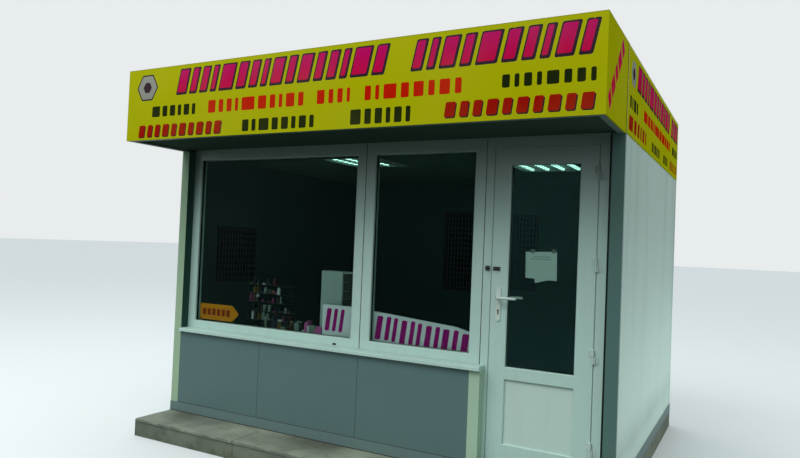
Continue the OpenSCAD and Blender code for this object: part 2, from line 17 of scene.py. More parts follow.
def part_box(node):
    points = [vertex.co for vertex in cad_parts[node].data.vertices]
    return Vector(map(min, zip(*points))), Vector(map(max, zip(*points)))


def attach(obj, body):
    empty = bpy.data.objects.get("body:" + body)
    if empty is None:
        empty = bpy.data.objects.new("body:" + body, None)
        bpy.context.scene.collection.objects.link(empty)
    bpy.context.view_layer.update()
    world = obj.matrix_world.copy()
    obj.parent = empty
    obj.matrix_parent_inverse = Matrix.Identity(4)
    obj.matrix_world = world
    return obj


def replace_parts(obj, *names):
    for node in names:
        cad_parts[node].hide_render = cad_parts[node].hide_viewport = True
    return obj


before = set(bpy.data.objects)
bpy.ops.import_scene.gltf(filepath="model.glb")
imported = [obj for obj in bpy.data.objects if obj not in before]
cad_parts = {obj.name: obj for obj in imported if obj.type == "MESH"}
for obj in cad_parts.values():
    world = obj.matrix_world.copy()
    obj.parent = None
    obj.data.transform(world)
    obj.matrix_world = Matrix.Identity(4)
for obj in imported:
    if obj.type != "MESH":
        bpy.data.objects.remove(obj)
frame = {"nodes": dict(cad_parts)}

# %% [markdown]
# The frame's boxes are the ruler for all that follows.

nodes, scene = frame["nodes"], bpy.context.scene
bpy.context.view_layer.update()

# %% [markdown]
# ## Camera
# The camera stands where the photograph was taken: at eye height, to the right of the shop front, turned
# 28.5 degrees to the left and a little tilted. Its focal length in pixels was fitted to the edges of the
# kiosk, and dividing by the picture's width turns it into a lens for a 36 mm sensor. A camera that is set
# by eye would be off by some pixels everywhere, and then no piece could be compared with the picture.

# %% Stand the camera
PHOTO_WIDTH, FOCAL_PIXELS, SENSOR = 800, 662.6, 36.0
EYE = Vector((2.784, -5.680, 1.769))
TURN, TILT, ROLL = (math.radians(angle) for angle in (28.497, 1.365, 2.351))


def add(name, data):
    """Puts an object with this camera, mesh or lamp into the scene."""
    made = bpy.data.objects.new(name, data)
    scene.collection.objects.link(made)
    return made


camera = add("camera", bpy.data.cameras.new("camera"))
camera.data.sensor_width = SENSOR
camera.data.lens = FOCAL_PIXELS * SENSOR / PHOTO_WIDTH
camera.data.clip_start, camera.data.clip_end = 0.05, 500.0
ahead = Vector((-math.sin(TURN) * math.cos(TILT), math.cos(TURN) * math.cos(TILT), math.sin(TILT)))
level = Vector((math.cos(TURN), math.sin(TURN), 0.0))
right = level * math.cos(ROLL) + level.cross(ahead) * math.sin(ROLL)
turned = Matrix((right, right.cross(ahead), -ahead)).transposed().to_4x4()
camera.matrix_world = Matrix.Translation(EYE) @ turned
bpy.context.scene.camera = camera
print("lens", round(camera.data.lens, 2), "mm")

# %% [markdown]
# ## Nodes in few words
# A material is a tree of nodes. `paint` turns the colours of a paint chart into the linear values that a
# renderer works in, and `put` adds one node and fills or links its inputs.

# %% Colours and nodes
def paint(red, green, blue):
    """A colour of 0 to 255, as on a paint chart, as linear values."""
    shares = (value / 255 for value in (red, green, blue))
    return (*(c / 12.92 if c <= 0.04045 else ((c + 0.055) / 1.055) ** 2.4 for c in shares), 1.0)


def toned(colour, share):
    """A colour made darker or lighter."""
    return (*(min(1.0, value * share) for value in colour[:3]), 1.0)


def put(tree, kind, inputs=(), **settings):
    """Adds a node, with its settings, and gives its inputs a value or a link."""
    made = tree.nodes.new("ShaderNode" + kind)
    for name, value in settings.items():
        setattr(made, name, value)
    for name, value in dict(inputs).items():
        if isinstance(value, bpy.types.NodeSocket):
            tree.links.new(value, made.inputs[name])
        else:
            made.inputs[name].default_value = value
    return made


print("white on the chart is", paint(255, 255, 255), "and half of it is", toned(paint(255, 255, 255), 0.5))

# %% [markdown]
# The other helpers are the few steps that every finish takes: arithmetic, a range, a soft curve, a mix of
# two colours, and clouds of noise. Written as functions, they let a tree be read from top to bottom.

# %% Steps in a node tree
def sums(tree, operation, first, second=0.0):
    """One step of arithmetic on two values or links."""
    return put(tree, "Math", {0: first, 1: second}, operation=operation).outputs[0]


def product(tree, first, *others):
    """All the values or links multiplied."""
    for other in others:
        first = sums(tree, "MULTIPLY", first, other)
    return first


def spread(tree, value, low, high, start=0.0, end=1.0):
    """Stretches low to high over start to end, and stops at both."""
    given = {"Value": value, "From Min": low, "From Max": high, "To Min": start, "To Max": end}
    return put(tree, "MapRange", given).outputs[0]


def ease(tree, value, low, high):
    """Goes from 0 at low to 1 at high in a soft curve."""
    given = {"Value": value, "From Min": low, "From Max": high}
    return put(tree, "MapRange", given, interpolation_type="SMOOTHSTEP").outputs[0]


def blend_colour(tree, share, first, second):
    """The first colour where share is 0, the second where it is 1."""
    return put(tree, "Mix", {0: share, 6: first, 7: second}, data_type="RGBA").outputs[2]


def where(tree):
    """The point that is shaded, in metres in the kiosk's own frame."""
    return put(tree, "TexCoord").outputs["Object"]


def axes(tree, vector):
    """The X, Y and Z of a vector."""
    return put(tree, "SeparateXYZ", {"Vector": vector}).outputs


def clouds(tree, place, scale, detail=2.0, **more):
    """Smooth noise."""
    return put(tree, "TexNoise", {"Vector": place, "Scale": scale, "Detail": detail, **more}).outputs[0]


def feed(tree, node, **sources):
    """Links a value to each of a node's inputs that is named."""
    for label, source in sources.items():
        tree.links.new(source, node.inputs[label.replace("_", " ")])


trial = bpy.data.node_groups.new("trial", "ShaderNodeTree")
product(trial, 2.0, 3.0, 4.0)
print("a product of three values takes", len(trial.nodes), "nodes")
bpy.data.node_groups.remove(trial)

# %% [markdown]
# ## Effects that many finishes share
# Rain, splashed mud, fading, grain and worn edges act on every part of a kiosk alike, so each is made
# once as a node group. A group puts out a mask or a height; the material decides what the mask does. All
# of them read Object coordinates. As every piece's object sits at the origin, these are metres in the
# kiosk's own frame, and a pattern runs on from one panel to the next.

# %% Node groups
def effect(name, draw, **inputs):
    """A node group with named inputs: draw makes its nodes, and says what it puts out."""
    tree = bpy.data.node_groups.new(name, "ShaderNodeTree")
    kind = "NodeSocketFloat"
    for label, value in inputs.items():
        socket = tree.interface.new_socket(label.replace("_", " "), in_out="INPUT", socket_type=kind)
        socket.default_value = value
    drawn = draw(tree, tree.nodes.new("NodeGroupInput").outputs, where(tree))
    for label in drawn:
        tree.interface.new_socket(label, in_out="OUTPUT", socket_type=kind)
    feed(tree, tree.nodes.new("NodeGroupOutput"), **drawn)
    print("made", name, "which gives", *drawn)
    return tree


def use(tree, group, **inputs):
    """Places an effect in a material with its own values, and gives its outputs."""
    made = tree.nodes.new("ShaderNodeGroup")
    made.node_tree = group
    for name, value in inputs.items():
        made.inputs[name.replace("_", " ")].default_value = value
    return made.outputs


def layer(tree, body, colour, group, **inputs):
    """Lays a colour over the body where an effect has its mask."""
    return blend_colour(tree, use(tree, group, **inputs)["Mask"], body, colour)


print("node groups so far:", len(bpy.data.node_groups))

# %% [markdown]
# Fading comes first. Paint and plastic never age evenly, so a slow drift of tone goes over each face. A
# picture of stains could do this too, but noise has no seams and fits a face of any size.

# %% Fading
def draw_fading(tree, given, place):
    """A slow drift of tone over a face, 0 to 1."""
    centred = sums(tree, "SUBTRACT", clouds(tree, place, given["Scale"], 3.0), 0.5)
    return {"Tone": sums(tree, "ADD", product(tree, centred, given["Contrast"]), 0.5)}


FADING = effect("fading", draw_fading, Scale=1.5, Contrast=1.0)

# %% [markdown]
# Splashes: heavy rain throws mud up a wall. The mask is full at the bottom, fades with height, and noise
# breaks its upper edge, so that it doesn't end in a line. It follows from a point's place alone, so it
# fits every wall.

# %% Splashes
def draw_splashes(tree, given, place):
    """Mud near the foot of a wall: 1 at Bottom, fading out over Height."""
    above = sums(tree, "SUBTRACT", axes(tree, place)["Z"], given["Bottom"])
    low = spread(tree, sums(tree, "DIVIDE", above, given["Height"]), 0.0, 1.0, 1.0, 0.0)
    rough = spread(tree, clouds(tree, place, given["Scale"], 6.0), 0.3, 0.75)
    return {"Mask": product(tree, low, low, rough, given["Amount"])}


SPLASHES = effect("splashes", draw_splashes, Bottom=0.15, Height=0.5, Scale=9.0, Amount=1.0)

# %% [markdown]
# Runs: dirty water runs down a wall in narrow streaks. A picture of streaks would repeat from panel to
# panel. Noise that is squeezed sideways and stretched in height makes them, and never repeats.

# %% Runs of dirty water
def draw_runs(tree, given, place):
    """Vertical streaks, 0 to Amount."""
    across, down = (sums(tree, "DIVIDE", 1.0, given[size]) for size in ("Width", "Length"))
    scale = put(tree, "CombineXYZ", {"X": across, "Y": across, "Z": down}).outputs[0]
    squeezed = put(tree, "VectorMath", {0: place, 1: scale}, operation="MULTIPLY").outputs[0]
    return {"Mask": product(tree, spread(tree, clouds(tree, squeezed, 1.0, 4.0), 0.5, 0.8), given["Amount"])}


RUNS = effect("runs", draw_runs, Width=0.03, Length=0.8, Amount=1.0)

# %% [markdown]
# Grain: no coating is a mirror. Coil-coated steel has a fine orange peel, moulded plastic a soft ripple,
# concrete a coarse tooth. Two sizes of noise give a height for a Bump node and a tone for the roughness.

# %% Grain
def draw_grain(tree, given, place):
    """Fine unevenness: a Height for bump and a Tone for roughness."""
    fine = clouds(tree, place, given["Scale"])
    coarse = clouds(tree, place, product(tree, given["Scale"], 0.11), 3.0)
    return {"Height": sums(tree, "ADD", product(tree, coarse, given["Coarse"]), fine), "Tone": coarse}


GRAIN = effect("grain", draw_grain, Scale=300.0, Coarse=0.2)

# %% [markdown]
# Worn edges: paint goes first where a hand or a boot touches, and that is on edges. The Bevel node gives
# the normal that a rounded edge would have; where it differs from the true normal there is an edge, and
# noise makes the wear patchy.

# %% Worn edges
def draw_edges(tree, given, place):
    """1 along edges within Width, broken up by noise."""
    rounded = put(tree, "Bevel", {"Radius": given["Width"]}, samples=4).outputs[0]
    true = put(tree, "NewGeometry").outputs["Normal"]
    same = put(tree, "VectorMath", {0: rounded, 1: true}, operation="DOT_PRODUCT").outputs["Value"]
    patches = spread(tree, clouds(tree, place, given["Scale"], 5.0), 0.4, 0.62)
    return {"Mask": product(tree, spread(tree, same, 0.99, 0.8), patches, given["Amount"])}


EDGES = effect("edges", draw_edges, Width=0.004, Scale=30.0, Amount=1.0)

# %% [markdown]
# Dust: it settles on faces that look up, such as the sill and the rails of the frames. A face's normal
# tells which way it looks, so no piece needs a mask of its own.

# %% Dust
def draw_dust(tree, given, place):
    """Dust on faces that look up, in soft patches."""
    up = axes(tree, put(tree, "NewGeometry").outputs["Normal"])["Z"]
    patches = spread(tree, clouds(tree, place, given["Scale"], 5.0), 0.25, 0.75, 0.35, 1.0)
    return {"Mask": product(tree, spread(tree, up, 0.5, 0.95), patches, given["Amount"])}


DUST = effect("dust", draw_dust, Scale=8.0, Amount=1.0)

# %% [markdown]
# The room: faces towards the room are painted darker than outside, as shade of the dim room. Both faces
# belong to one CAD node, so a mask tells them apart by their place: it is 1 between the inner faces of the
# walls.

# %% Room side
def draw_room_side(tree, given, place):
    """1 on faces towards the room."""
    point = axes(tree, place)
    across = sums(tree, "LESS_THAN", sums(tree, "ABSOLUTE", point["X"]), given["Half Width"])
    behind = sums(tree, "GREATER_THAN", point["Y"], given["Front"])
    return {"Mask": product(tree, across, behind, sums(tree, "LESS_THAN", point["Y"], given["Back"]))}


ROOM_SIDE = effect("room_side", draw_room_side, Half_Width=1.93, Front=-1.13, Back=1.73)

# %% [markdown]
# ## Coated steel sheet
# Walls, parapet, trims, base band and roof are steel sheet with a factory coating. Up close it has an
# orange peel; from afar it shows a slow drift of tone, runs below the edges where water leaves, and mud
# at its foot. On the walls the colour is painted darker towards the top, as shade under the boards and as
# a reflection of dark surroundings, and a low band is painted as a reflection of the ground; under the
# canopy the hinges get painted shade too.
#
# The steps that end every finish come first. Constants go on the shader's own sockets, because a plain
# value there is the easiest to read and to bake. The grain gives the bump, and its tone makes the
# roughness uneven, so that a reflection never has a hard outline.

# %% Steps that every finish shares
CALM, LIVELY, MUD_DULLS, PORES_SINK = 0.3, 0.7, 0.3, 0.5


def new_material(name, roughness=0.5, **sockets):
    """A material with its shader: constants go on the shader's own sockets."""
    material = bpy.data.materials.new(name)
    material.use_nodes = True
    shader = material.node_tree.nodes["Principled BSDF"]
    for socket, value in {"Roughness": roughness, **sockets}.items():
        shader.inputs[socket.replace("_", " ")].default_value = value
    return material, material.node_tree, shader


def bump(tree, height, depth):
    """The normal of a face with this height, in steps of this depth in metres."""
    return put(tree, "Bump", {"Height": height, "Distance": depth, "Strength": 1.0}).outputs[0]


def skin(made, body, grain, rough, depth, mud=None, pores=None):
    """The last step of a finish: its colour, a roughness that follows the grain, and a bump."""
    material, tree, shader = made
    dull, height = spread(tree, grain["Tone"], CALM, LIVELY, *rough), grain["Height"]
    if mud is not None:
        dull = sums(tree, "ADD", dull, product(tree, mud, MUD_DULLS))
    if pores is not None:
        height = sums(tree, "ADD", height, product(tree, pores, PORES_SINK))
    feed(tree, shader, Base_Color=body, Roughness=dull, Normal=bump(tree, height, depth))
    return material


print("roughness follows the grain's tone from", CALM, "to", LIVELY)

# %% [markdown]
# One function builds the tree of a coated sheet. Each kind of dirt, and each painted shade and
# reflection, has a colour and a height where it lies, in metres above the plinth's foot, and an amount of
# 0 leaves it out.

# %% Coated sheet
# The last two colours of this line and the first of the next are painted: shade under the canopy, shade and
# reflection towards a wall's top, and a reflection of the ground in a low band. The others are dirt and bare
# steel.
DIRT, MUD, CANOPY_SHADE, REFLECTION_SHADE = paint(96, 92, 78), paint(88, 84, 70), paint(40, 60, 54), paint(78, 112, 98)
GROUND_REFLECTION, BARE = paint(116, 138, 128), paint(120, 100, 82)
SHADE, SHADE_LOW, SHADE_TOP = 0.6, 1.95, 2.5
REFLECTION_SHADE_LOW, REFLECTION_SHADE_TOP = 0.5, 2.25
GROUND_REFLECTION_LOW, GROUND_REFLECTION_FULL, GROUND_REFLECTION_TOP = 0.3, 0.42, 0.62


def under_canopy(tree, body):
    """Darkens a colour towards the top of the shop front, as painted shade under the canopy."""
    risen = ease(tree, axes(tree, where(tree))["Z"], SHADE_LOW, SHADE_TOP)
    return blend_colour(tree, product(tree, risen, SHADE), body, CANOPY_SHADE)


def coated_sheet(name, chart, roughness=0.4, splash=0.0, mud_height=0.45, run=0.0, wear=0.0, sheen=0.25,
                 reflection_shade=0.0, grime_and_reflection=0.0, shaded=False, room=None):
    """Coated steel sheet. Splash is dirt at its foot and run dirt that comes down from the boards. Grime and
    reflection paints a low band as a reflection of the ground, reflection shade paints the sheet darker
    towards its top as shade and as a reflection of dark surroundings, a shaded sheet gets the painted
    shade under the canopy, wear bares its edges, and room is its colour inside, painted darker as shade
    of the room."""
    made = new_material(name, Specular_IOR_Level=sheen)
    tree = made[1]
    tone = use(tree, FADING, Scale=1.1, Contrast=0.9)["Tone"]
    body = blend_colour(tree, tone, toned(paint(*chart), 0.92), toned(paint(*chart), 1.06))
    body = layer(tree, body, DIRT, RUNS, Width=0.09, Length=1.3, Amount=run)
    mud = use(tree, SPLASHES, Bottom=0.15, Height=mud_height, Scale=11.0, Amount=splash)["Mask"]
    body = blend_colour(tree, mud, body, MUD)
    height = axes(tree, where(tree))["Z"]
    # Painted shade and reflection: darker towards the top, streaked like runs.
    if reflection_shade:
        below = use(tree, RUNS, Width=0.16, Length=2.2, Amount=0.25)["Mask"]
        risen = ease(tree, height, REFLECTION_SHADE_LOW, REFLECTION_SHADE_TOP)
        body = blend_colour(tree, product(tree, risen, sums(tree, "ADD", below, 0.75), reflection_shade), body, REFLECTION_SHADE)
    # Painted reflection of the ground: a low band, broken up by clouds.
    if grime_and_reflection:
        cloud = use(tree, FADING, Scale=1.3, Contrast=1.2)["Tone"]
        band = product(tree, spread(tree, height, GROUND_REFLECTION_FULL, GROUND_REFLECTION_TOP, 1.0, 0.0),
                       spread(tree, height, GROUND_REFLECTION_LOW, GROUND_REFLECTION_FULL))
        body = blend_colour(tree, product(tree, band, cloud, grime_and_reflection), body, GROUND_REFLECTION)
    # Painted shade of the room: its side is darker.
    if room:
        body = layer(tree, body, paint(*room), ROOM_SIDE)
    # Painted shade under the canopy.
    if shaded:
        body = under_canopy(tree, body)
    if wear:
        body = layer(tree, body, BARE, EDGES, Width=0.004, Scale=26.0, Amount=wear)
    grain = use(tree, GRAIN, Scale=420.0, Coarse=0.5)
    return skin(made, body, grain, (roughness - 0.05, roughness + 0.07), 0.00005, mud=mud)


print("shade under the canopy starts at", SHADE_LOW, "m and is full at", SHADE_TOP, "m")

# %% [markdown]
# A table holds what differs from part to part: colour, roughness, and how much dirt there is. Its keys
# are the names of the CAD model's slots, so that the nodes can be matched with it later.

# %% Table of coated sheets
finishes = {
    # The walls get painted shade and reflection towards their top, a painted reflection of the ground low
    # down, and painted shade on the room side.
    "white_panel": coated_sheet("wall_sheet", (212, 240, 229), 0.36, splash=0.35, mud_height=0.3, run=0.05,
                                sheen=0.04, reflection_shade=0.8, grime_and_reflection=0.45, room=(40, 62, 58)),
    "grey_panel": coated_sheet("parapet_sheet", (85, 114, 113), 0.42, splash=0.2, mud_height=0.35, run=0.12),
    "base_steel": coated_sheet("base_band_paint", (96, 121, 119), 0.5, splash=0.2, mud_height=0.1, run=0.15,
                               wear=0.5),
    "cream_trim": coated_sheet("cream_trim_sheet", (164, 196, 169), 0.38, splash=0.3, mud_height=0.3,
                               run=0.05),
    # The reveal's grey is darkened as painted shade in its recess.
    "dark_trim": coated_sheet("dark_reveal_sheet", (50, 80, 73), 0.6, sheen=0.0),
    "grey_trim": coated_sheet("grey_trim_sheet", (76, 109, 103), 0.4, splash=0.7, mud_height=0.5, run=0.15),
    "frame_steel": coated_sheet("inner_frame_paint", (150, 160, 156), 0.5, splash=0.1, run=0.15),
    "dark_steel": coated_sheet("front_frame_paint", (48, 60, 58), 0.5, splash=0.3, run=0.15, wear=0.5),
    "roof_steel": coated_sheet("canopy_tube_paint", (92, 112, 104), 0.5, run=0.15, wear=0.3, sheen=0.1),
    "roof_sheet": coated_sheet("roof_sheet_coating", (142, 156, 150), 0.45, run=0.25),
    # Soffit and ceiling are darker than their coatings, as painted shade under the canopy and in the room.
    "soffit_board": coated_sheet("soffit_board_coating", (62, 82, 69), 0.7, sheen=0.0),
    "ceiling_board": coated_sheet("ceiling_board_paint", (72, 92, 82), 0.7, sheen=0.05),
    "capping_metal": coated_sheet("capping_sheet", (190, 194, 98), 0.4, run=0.1, sheen=0.1),
    # The hinges get the painted shade under the canopy, as the frames do.
    "hinge_metal": coated_sheet("hinge_paint", (186, 210, 202), 0.35, sheen=0.1, shaded=True),
    "handle_white": coated_sheet("handle_paint", (206, 224, 217), 0.3),
    "black_steel": coated_sheet("hasp_paint", (52, 60, 58), 0.5, wear=0.7, sheen=0.1),
    "lamp_white": coated_sheet("lamp_enamel", (222, 230, 226), 0.3),
    "floor": coated_sheet("floor_covering", (104, 106, 98), 0.6, splash=0.3),
}
print("coated sheets:", len(finishes))

# %% [markdown]
# ## White plastic
# Window and door frames are extruded plastic. It is smoother than coated steel, a little waxy, it greys
# where rain dries and dust lies, and towards the canopy it is painted darker, as shade. Most of its
# effects are those of the sheet with softer values, so that frames and walls look equally old.

# %% White plastic
def white_plastic(name, chart, splash=0.25):
    """Extruded white plastic, faintly rippled, greyed by runs, with painted shade under the canopy."""
    made = new_material(name)
    tree = made[1]
    tone = use(tree, FADING, Scale=2.2, Contrast=0.7)["Tone"]
    body = blend_colour(tree, tone, toned(paint(*chart), 0.94), paint(*chart))
    body = layer(tree, body, DIRT, RUNS, Width=0.07, Length=0.9, Amount=0.07)
    body = layer(tree, body, MUD, SPLASHES, Bottom=0.2, Height=0.35, Scale=12.0, Amount=splash)
    body = layer(tree, body, DIRT, DUST, Scale=14.0, Amount=0.2)
    grain = use(tree, GRAIN, Scale=150.0, Coarse=0.8)
    return skin(made, under_canopy(tree, body), grain, (0.28, 0.4), 0.00004)


finishes["white_plastic"] = white_plastic("frame_plastic", (181, 214, 204))
finishes["door_panel_white"] = white_plastic("door_panel_plastic", (192, 219, 209), splash=0.3)
print("finishes so far:", len(finishes))

# %% [markdown]
# ## Bare metal
# The threshold is aluminium, drawn through a die and scratched by shoes, and the lock cylinder is brass.
# Metallic is 1 and the colour is the metal's own. Grime darkens it in patches, and the grain shows in its
# roughness, which is how fine scratches look from a step away.

# %% Bare metal
def bare_metal(name, chart, roughness=0.3, grime_and_reflection=0.3):
    """Metal with no coating: its grime is where the tone is high."""
    made = new_material(name, Metallic=1.0)
    tree = made[1]
    grain = use(tree, GRAIN, Scale=240.0, Coarse=1.0)
    dirty = spread(tree, grain["Tone"], 0.5, 0.75, 0.0, grime_and_reflection)
    body = blend_colour(tree, dirty, paint(*chart), toned(paint(*chart), 0.45))
    return skin(made, body, grain, (roughness - 0.08, roughness + 0.15), 0.0001)


finishes["threshold_metal"] = bare_metal("threshold_aluminium", (176, 180, 178), 0.38, grime_and_reflection=0.6)
finishes["lock_brass"] = bare_metal("cylinder_brass", (104, 98, 78), 0.4)
print("finishes so far:", len(finishes))

# %% [markdown]
# ## Concrete
# The plinth is cast concrete: a cement skin with fine pores and chipped edges. It is darker where water
# stands on it, close to the shop front, and green where splashes keep its foot damp. Its standing face is
# darker than its top, because feet and rain keep the top clean.

# %% Concrete
POOLS = ((-1.74, 0.1), (-0.3, 0.2))
POOL_Y, PLINTH_TOP = -1.2, 0.15
STEP_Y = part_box("plinth")[0][1]


def concrete(name):
    """Cast concrete with pores, damp patches and worn edges."""
    made = new_material(name)
    tree = made[1]
    tone = use(tree, FADING, Scale=2.6, Contrast=1.6)["Tone"]
    body = blend_colour(tree, tone, paint(80, 90, 80), paint(132, 142, 122))
    place = where(tree)
    stains = clouds(tree, place, 7.0, 8.0, Roughness=0.65)
    body = blend_colour(tree, spread(tree, stains, 0.52, 0.72, 0.0, 0.6), body, paint(62, 70, 60))
    rim = product(tree, use(tree, FADING, Scale=1.7, Contrast=3.2)["Tone"], 0.12)
    for x, size in POOLS:
        middle = {0: place, 1: (x, POOL_Y, PLINTH_TOP)}
        away = put(tree, "VectorMath", middle, operation="DISTANCE").outputs["Value"]
        pool = spread(tree, sums(tree, "SUBTRACT", away, rim), size - 0.06, size + 0.12, 0.7, 0.0)
        body = blend_colour(tree, pool, body, paint(56, 60, 50))
    standing = spread(tree, axes(tree, place)["Y"], STEP_Y + 0.006, STEP_Y)
    body = blend_colour(tree, product(tree, standing, 0.6), body, paint(70, 84, 78))
    body = layer(tree, body, paint(62, 74, 46), SPLASHES, Bottom=0.0, Height=0.14, Scale=14.0, Amount=0.9)
    body = layer(tree, body, paint(160, 166, 148), EDGES, Width=0.012, Scale=18.0, Amount=0.6)
    holes = put(tree, "TexVoronoi", {"Vector": place, "Scale": 90.0}).outputs["Distance"]
    grain = use(tree, GRAIN, Scale=120.0, Coarse=1.2)
    return skin(made, body, grain, (0.75, 0.95), 0.0015, pores=spread(tree, holes, 0.05, 0.3))


finishes["concrete"] = concrete("plinth_concrete")
print("finishes so far:", len(finishes))

# %% [markdown]
# ## Glass
# A window holds a sealed unit of two panes with a hollow bar between them. Each pane is a thin closed
# plate, so light bends in at one face and out at the other. The slight green of the glass is the shader's
# own colour, and its gloss is blue-green. The light all round this stage is pale, so the four faces of a
# unit would mirror far more of it than real ones do; a low index of refraction holds that back, and the
# room behind stays dark. The door's glass is paler than the windows', so its index is a little higher.

# %% Glass
def clear_glass(name, bend):
    """Float glass with a faint waviness; bend is its index of refraction."""
    colours = {"Base_Color": paint(232, 241, 237), "Specular_Tint": paint(160, 243, 247)}
    material, tree, shader = new_material(name, 0.01, Transmission_Weight=1.0, IOR=bend, **colours)
    feed(tree, shader, Normal=bump(tree, use(tree, GRAIN, Scale=2.0, Coarse=0.5)["Height"], 0.0003))
    return material


finishes["clear_glass"] = clear_glass("window_pane_glass", 1.075)
DOOR_GLASS = clear_glass("door_pane_glass", 1.15)
print("finishes so far:", len(finishes))

# %% [markdown]
# ## Printed film
# The sign boards are covered with yellow film, and cut film in magenta, red and dark green lies on it.
# A film's colour changes with height: the magenta turns bluer towards the top of a board, and the
# yellow, grey, dark and outline films get lighter there, as painted light from the sky. Its soft gloss is
# left off, because all of this stage is pale and would make the colours pale. Towards the roof the boards
# show their own grey lacquer, which the room's mask finds with other limits.

# %% Film finishes
def film(name, low_chart, high_chart=None, low_z=2.56, high_z=3.16, back=None):
    """Film whose colour changes with height; back is the board's own colour towards the roof."""
    made = new_material(name, 0.45, Specular_IOR_Level=0.0)
    tree = made[1]
    # The change with height is partly painted light from the sky on a board's top.
    risen = spread(tree, axes(tree, where(tree))["Z"], low_z, high_z)
    body = blend_colour(tree, risen, paint(*low_chart), paint(*(high_chart or low_chart)))
    tone = use(tree, FADING, Scale=2.0, Contrast=0.8)["Tone"]
    body = blend_colour(tree, spread(tree, tone, 0.4, 0.8, 0.0, 0.05), body, paint(210, 212, 120))
    if back:
        body = layer(tree, body, paint(*back), ROOM_SIDE, Half_Width=1.9905, Front=-1.8305, Back=9.0)
    return skin(made, body, use(tree, GRAIN, Scale=90.0, Coarse=0.6), (0.3, 0.42), 0.0001)


FILM = {
    "magenta": film("film_magenta", (186, 14, 62), (178, 14, 96), 2.92, 3.13),
    "shadow": film("film_outline", (40, 30, 40), (52, 36, 52)),
    "red": film("film_red", (180, 22, 4)),
    "crimson": film("film_crimson", (146, 18, 8)),
    "dark": film("film_dark_green", (26, 36, 12), (30, 38, 14)),
    "grey": film("film_grey", (116, 120, 112), (146, 150, 140)),
}
finishes["yellow_board"] = film("film_yellow", (163, 167, 3), (166, 170, 8), back=(148, 156, 150))
print("colours of film:", len(FILM) + 1)

# %% [markdown]
# Every CAD node arrives with a plain material that bears its slot's name, so the finishes are looked up
# by that name. One trim gets a finish of its own: it stands under the end of the canopy and is painted
# darker than the others, as shade.

# %% Give every CAD node its finish
OWN_FINISH = {
    # Darker than the cream trim, with painted shade and reflection towards its top.
    "left_corner_trim": coated_sheet("shaded_trim_sheet", (160, 190, 158), 0.5, splash=0.3, run=0.05,
                                     sheen=0.05, reflection_shade=0.45),
}
slot_of = {name: node.data.materials[0].name.split(".")[0] for name, node in nodes.items()}
for name, node in nodes.items():
    for place in node.material_slots:
        place.material = OWN_FINISH.get(name, finishes[slot_of[name]])
print("nodes finished:", len(nodes), "with", len(finishes), "finishes")

# %% [markdown]
# ## Making small pieces
# Each piece is built in its place with bmesh operators, then made an object that rides on a body of the
# CAD model. Most of them are bars, strips and heads, so `block` and `rod` start from a cube and a cone
# and put them in their place. No real edge is sharp: a block's edges are rounded by a small bevel, which
# catches the light.

# %% Blocks and rods
def bevelled(bm, geom, offset, segments, affect):
    """Rounds edges or corners, and gives the points it makes."""
    given = {"offset": offset, "segments": segments, "affect": affect, "profile": 0.5, "material": -1}
    return bmesh.ops.bevel(bm, geom=geom, **given)["verts"]


def block(bm, one, other, edge=0.0, segments=1):
    """Adds a block between two opposite corners, its edges rounded."""
    low, high = (Vector(tuple(map(pick, one, other))) for pick in (min, max))
    verts = bmesh.ops.create_cube(bm, size=1.0)["verts"]
    bmesh.ops.scale(bm, vec=high - low, verts=verts)
    bmesh.ops.translate(bm, vec=(low + high) / 2, verts=verts)
    if edge:
        edges = list(dict.fromkeys(line for vert in verts for line in vert.link_edges))
        bevelled(bm, edges, edge, segments, "EDGES")


def rod(bm, start, end, radius, sides=16, tip=None):
    """Adds a round bar between two points; tip is its radius at the end."""
    start, end = Vector(start), Vector(end)
    span = end - start
    place = Matrix.Translation((start + end) / 2) @ span.to_track_quat("Z", "Y").to_matrix().to_4x4()
    given = {"radius1": radius, "radius2": radius if tip is None else tip, "depth": span.length}
    return bmesh.ops.create_cone(bm, cap_ends=True, segments=sides, matrix=place, **given)["verts"]


trial = bmesh.new()
block(trial, (0.0, 0.0, 0.0), (1.0, 1.0, 1.0), 0.1)
print("a block with broken edges has", len(trial.faces), "faces")
trial.free()

# %% [markdown]
# Film, plates and strips are flat. An outline of points x and z is extruded a little, as a plotter cuts
# film and a press cuts sheet, and a place then moves and turns it to the board or wall that it lies on.
# `ring` insets a face and keeps only the rim.

# %% Flat work
CORNER_STEPS = 3


def at(x=0.0, y=0.0, z=0.0, turn=0.0):
    """A place for flat work, turned by this angle round the vertical."""
    return Matrix.Translation((x, y, z)) @ Matrix.Rotation(turn, 4, "Z")


def thicken(bm, faces, depth, place):
    """Extrudes flat faces of the front plane backwards, then moves the whole to its place."""
    flat = list({vert for face in faces for vert in face.verts})
    made = bmesh.ops.extrude_face_region(bm, geom=faces)["geom"]
    moved = [item for item in made if isinstance(item, bmesh.types.BMVert)]
    bmesh.ops.translate(bm, vec=(0.0, -depth, 0.0), verts=moved)
    bmesh.ops.transform(bm, matrix=place, verts=flat + moved)


def tile(x0, x1, z0, z1, lean=0.0):
    """Outline of a plate that leans to the right as it rises."""
    push = lean * (z1 - z0) / 2
    return ((x0 - push, z0), (x1 - push, z0), (x1 + push, z1), (x0 + push, z1))


def pill(x, z, length, height):
    """Outline of a small plate round its middle."""
    return tile(x - length / 2, x + length / 2, z - height / 2, z + height / 2)


def ring(bm, low, high, width, depth, place):
    """Adds a flat rectangular frame: low and high are its outer corners (x, z)."""
    face = bm.faces.new([bm.verts.new((x, 0.0, z)) for x, z in tile(low[0], high[0], low[1], high[1])])
    rim = bmesh.ops.inset_region(bm, faces=[face], thickness=width, use_boundary=True, use_even_offset=True)
    bmesh.ops.delete(bm, geom=[face], context="FACES")
    thicken(bm, rim["faces"], depth, place)


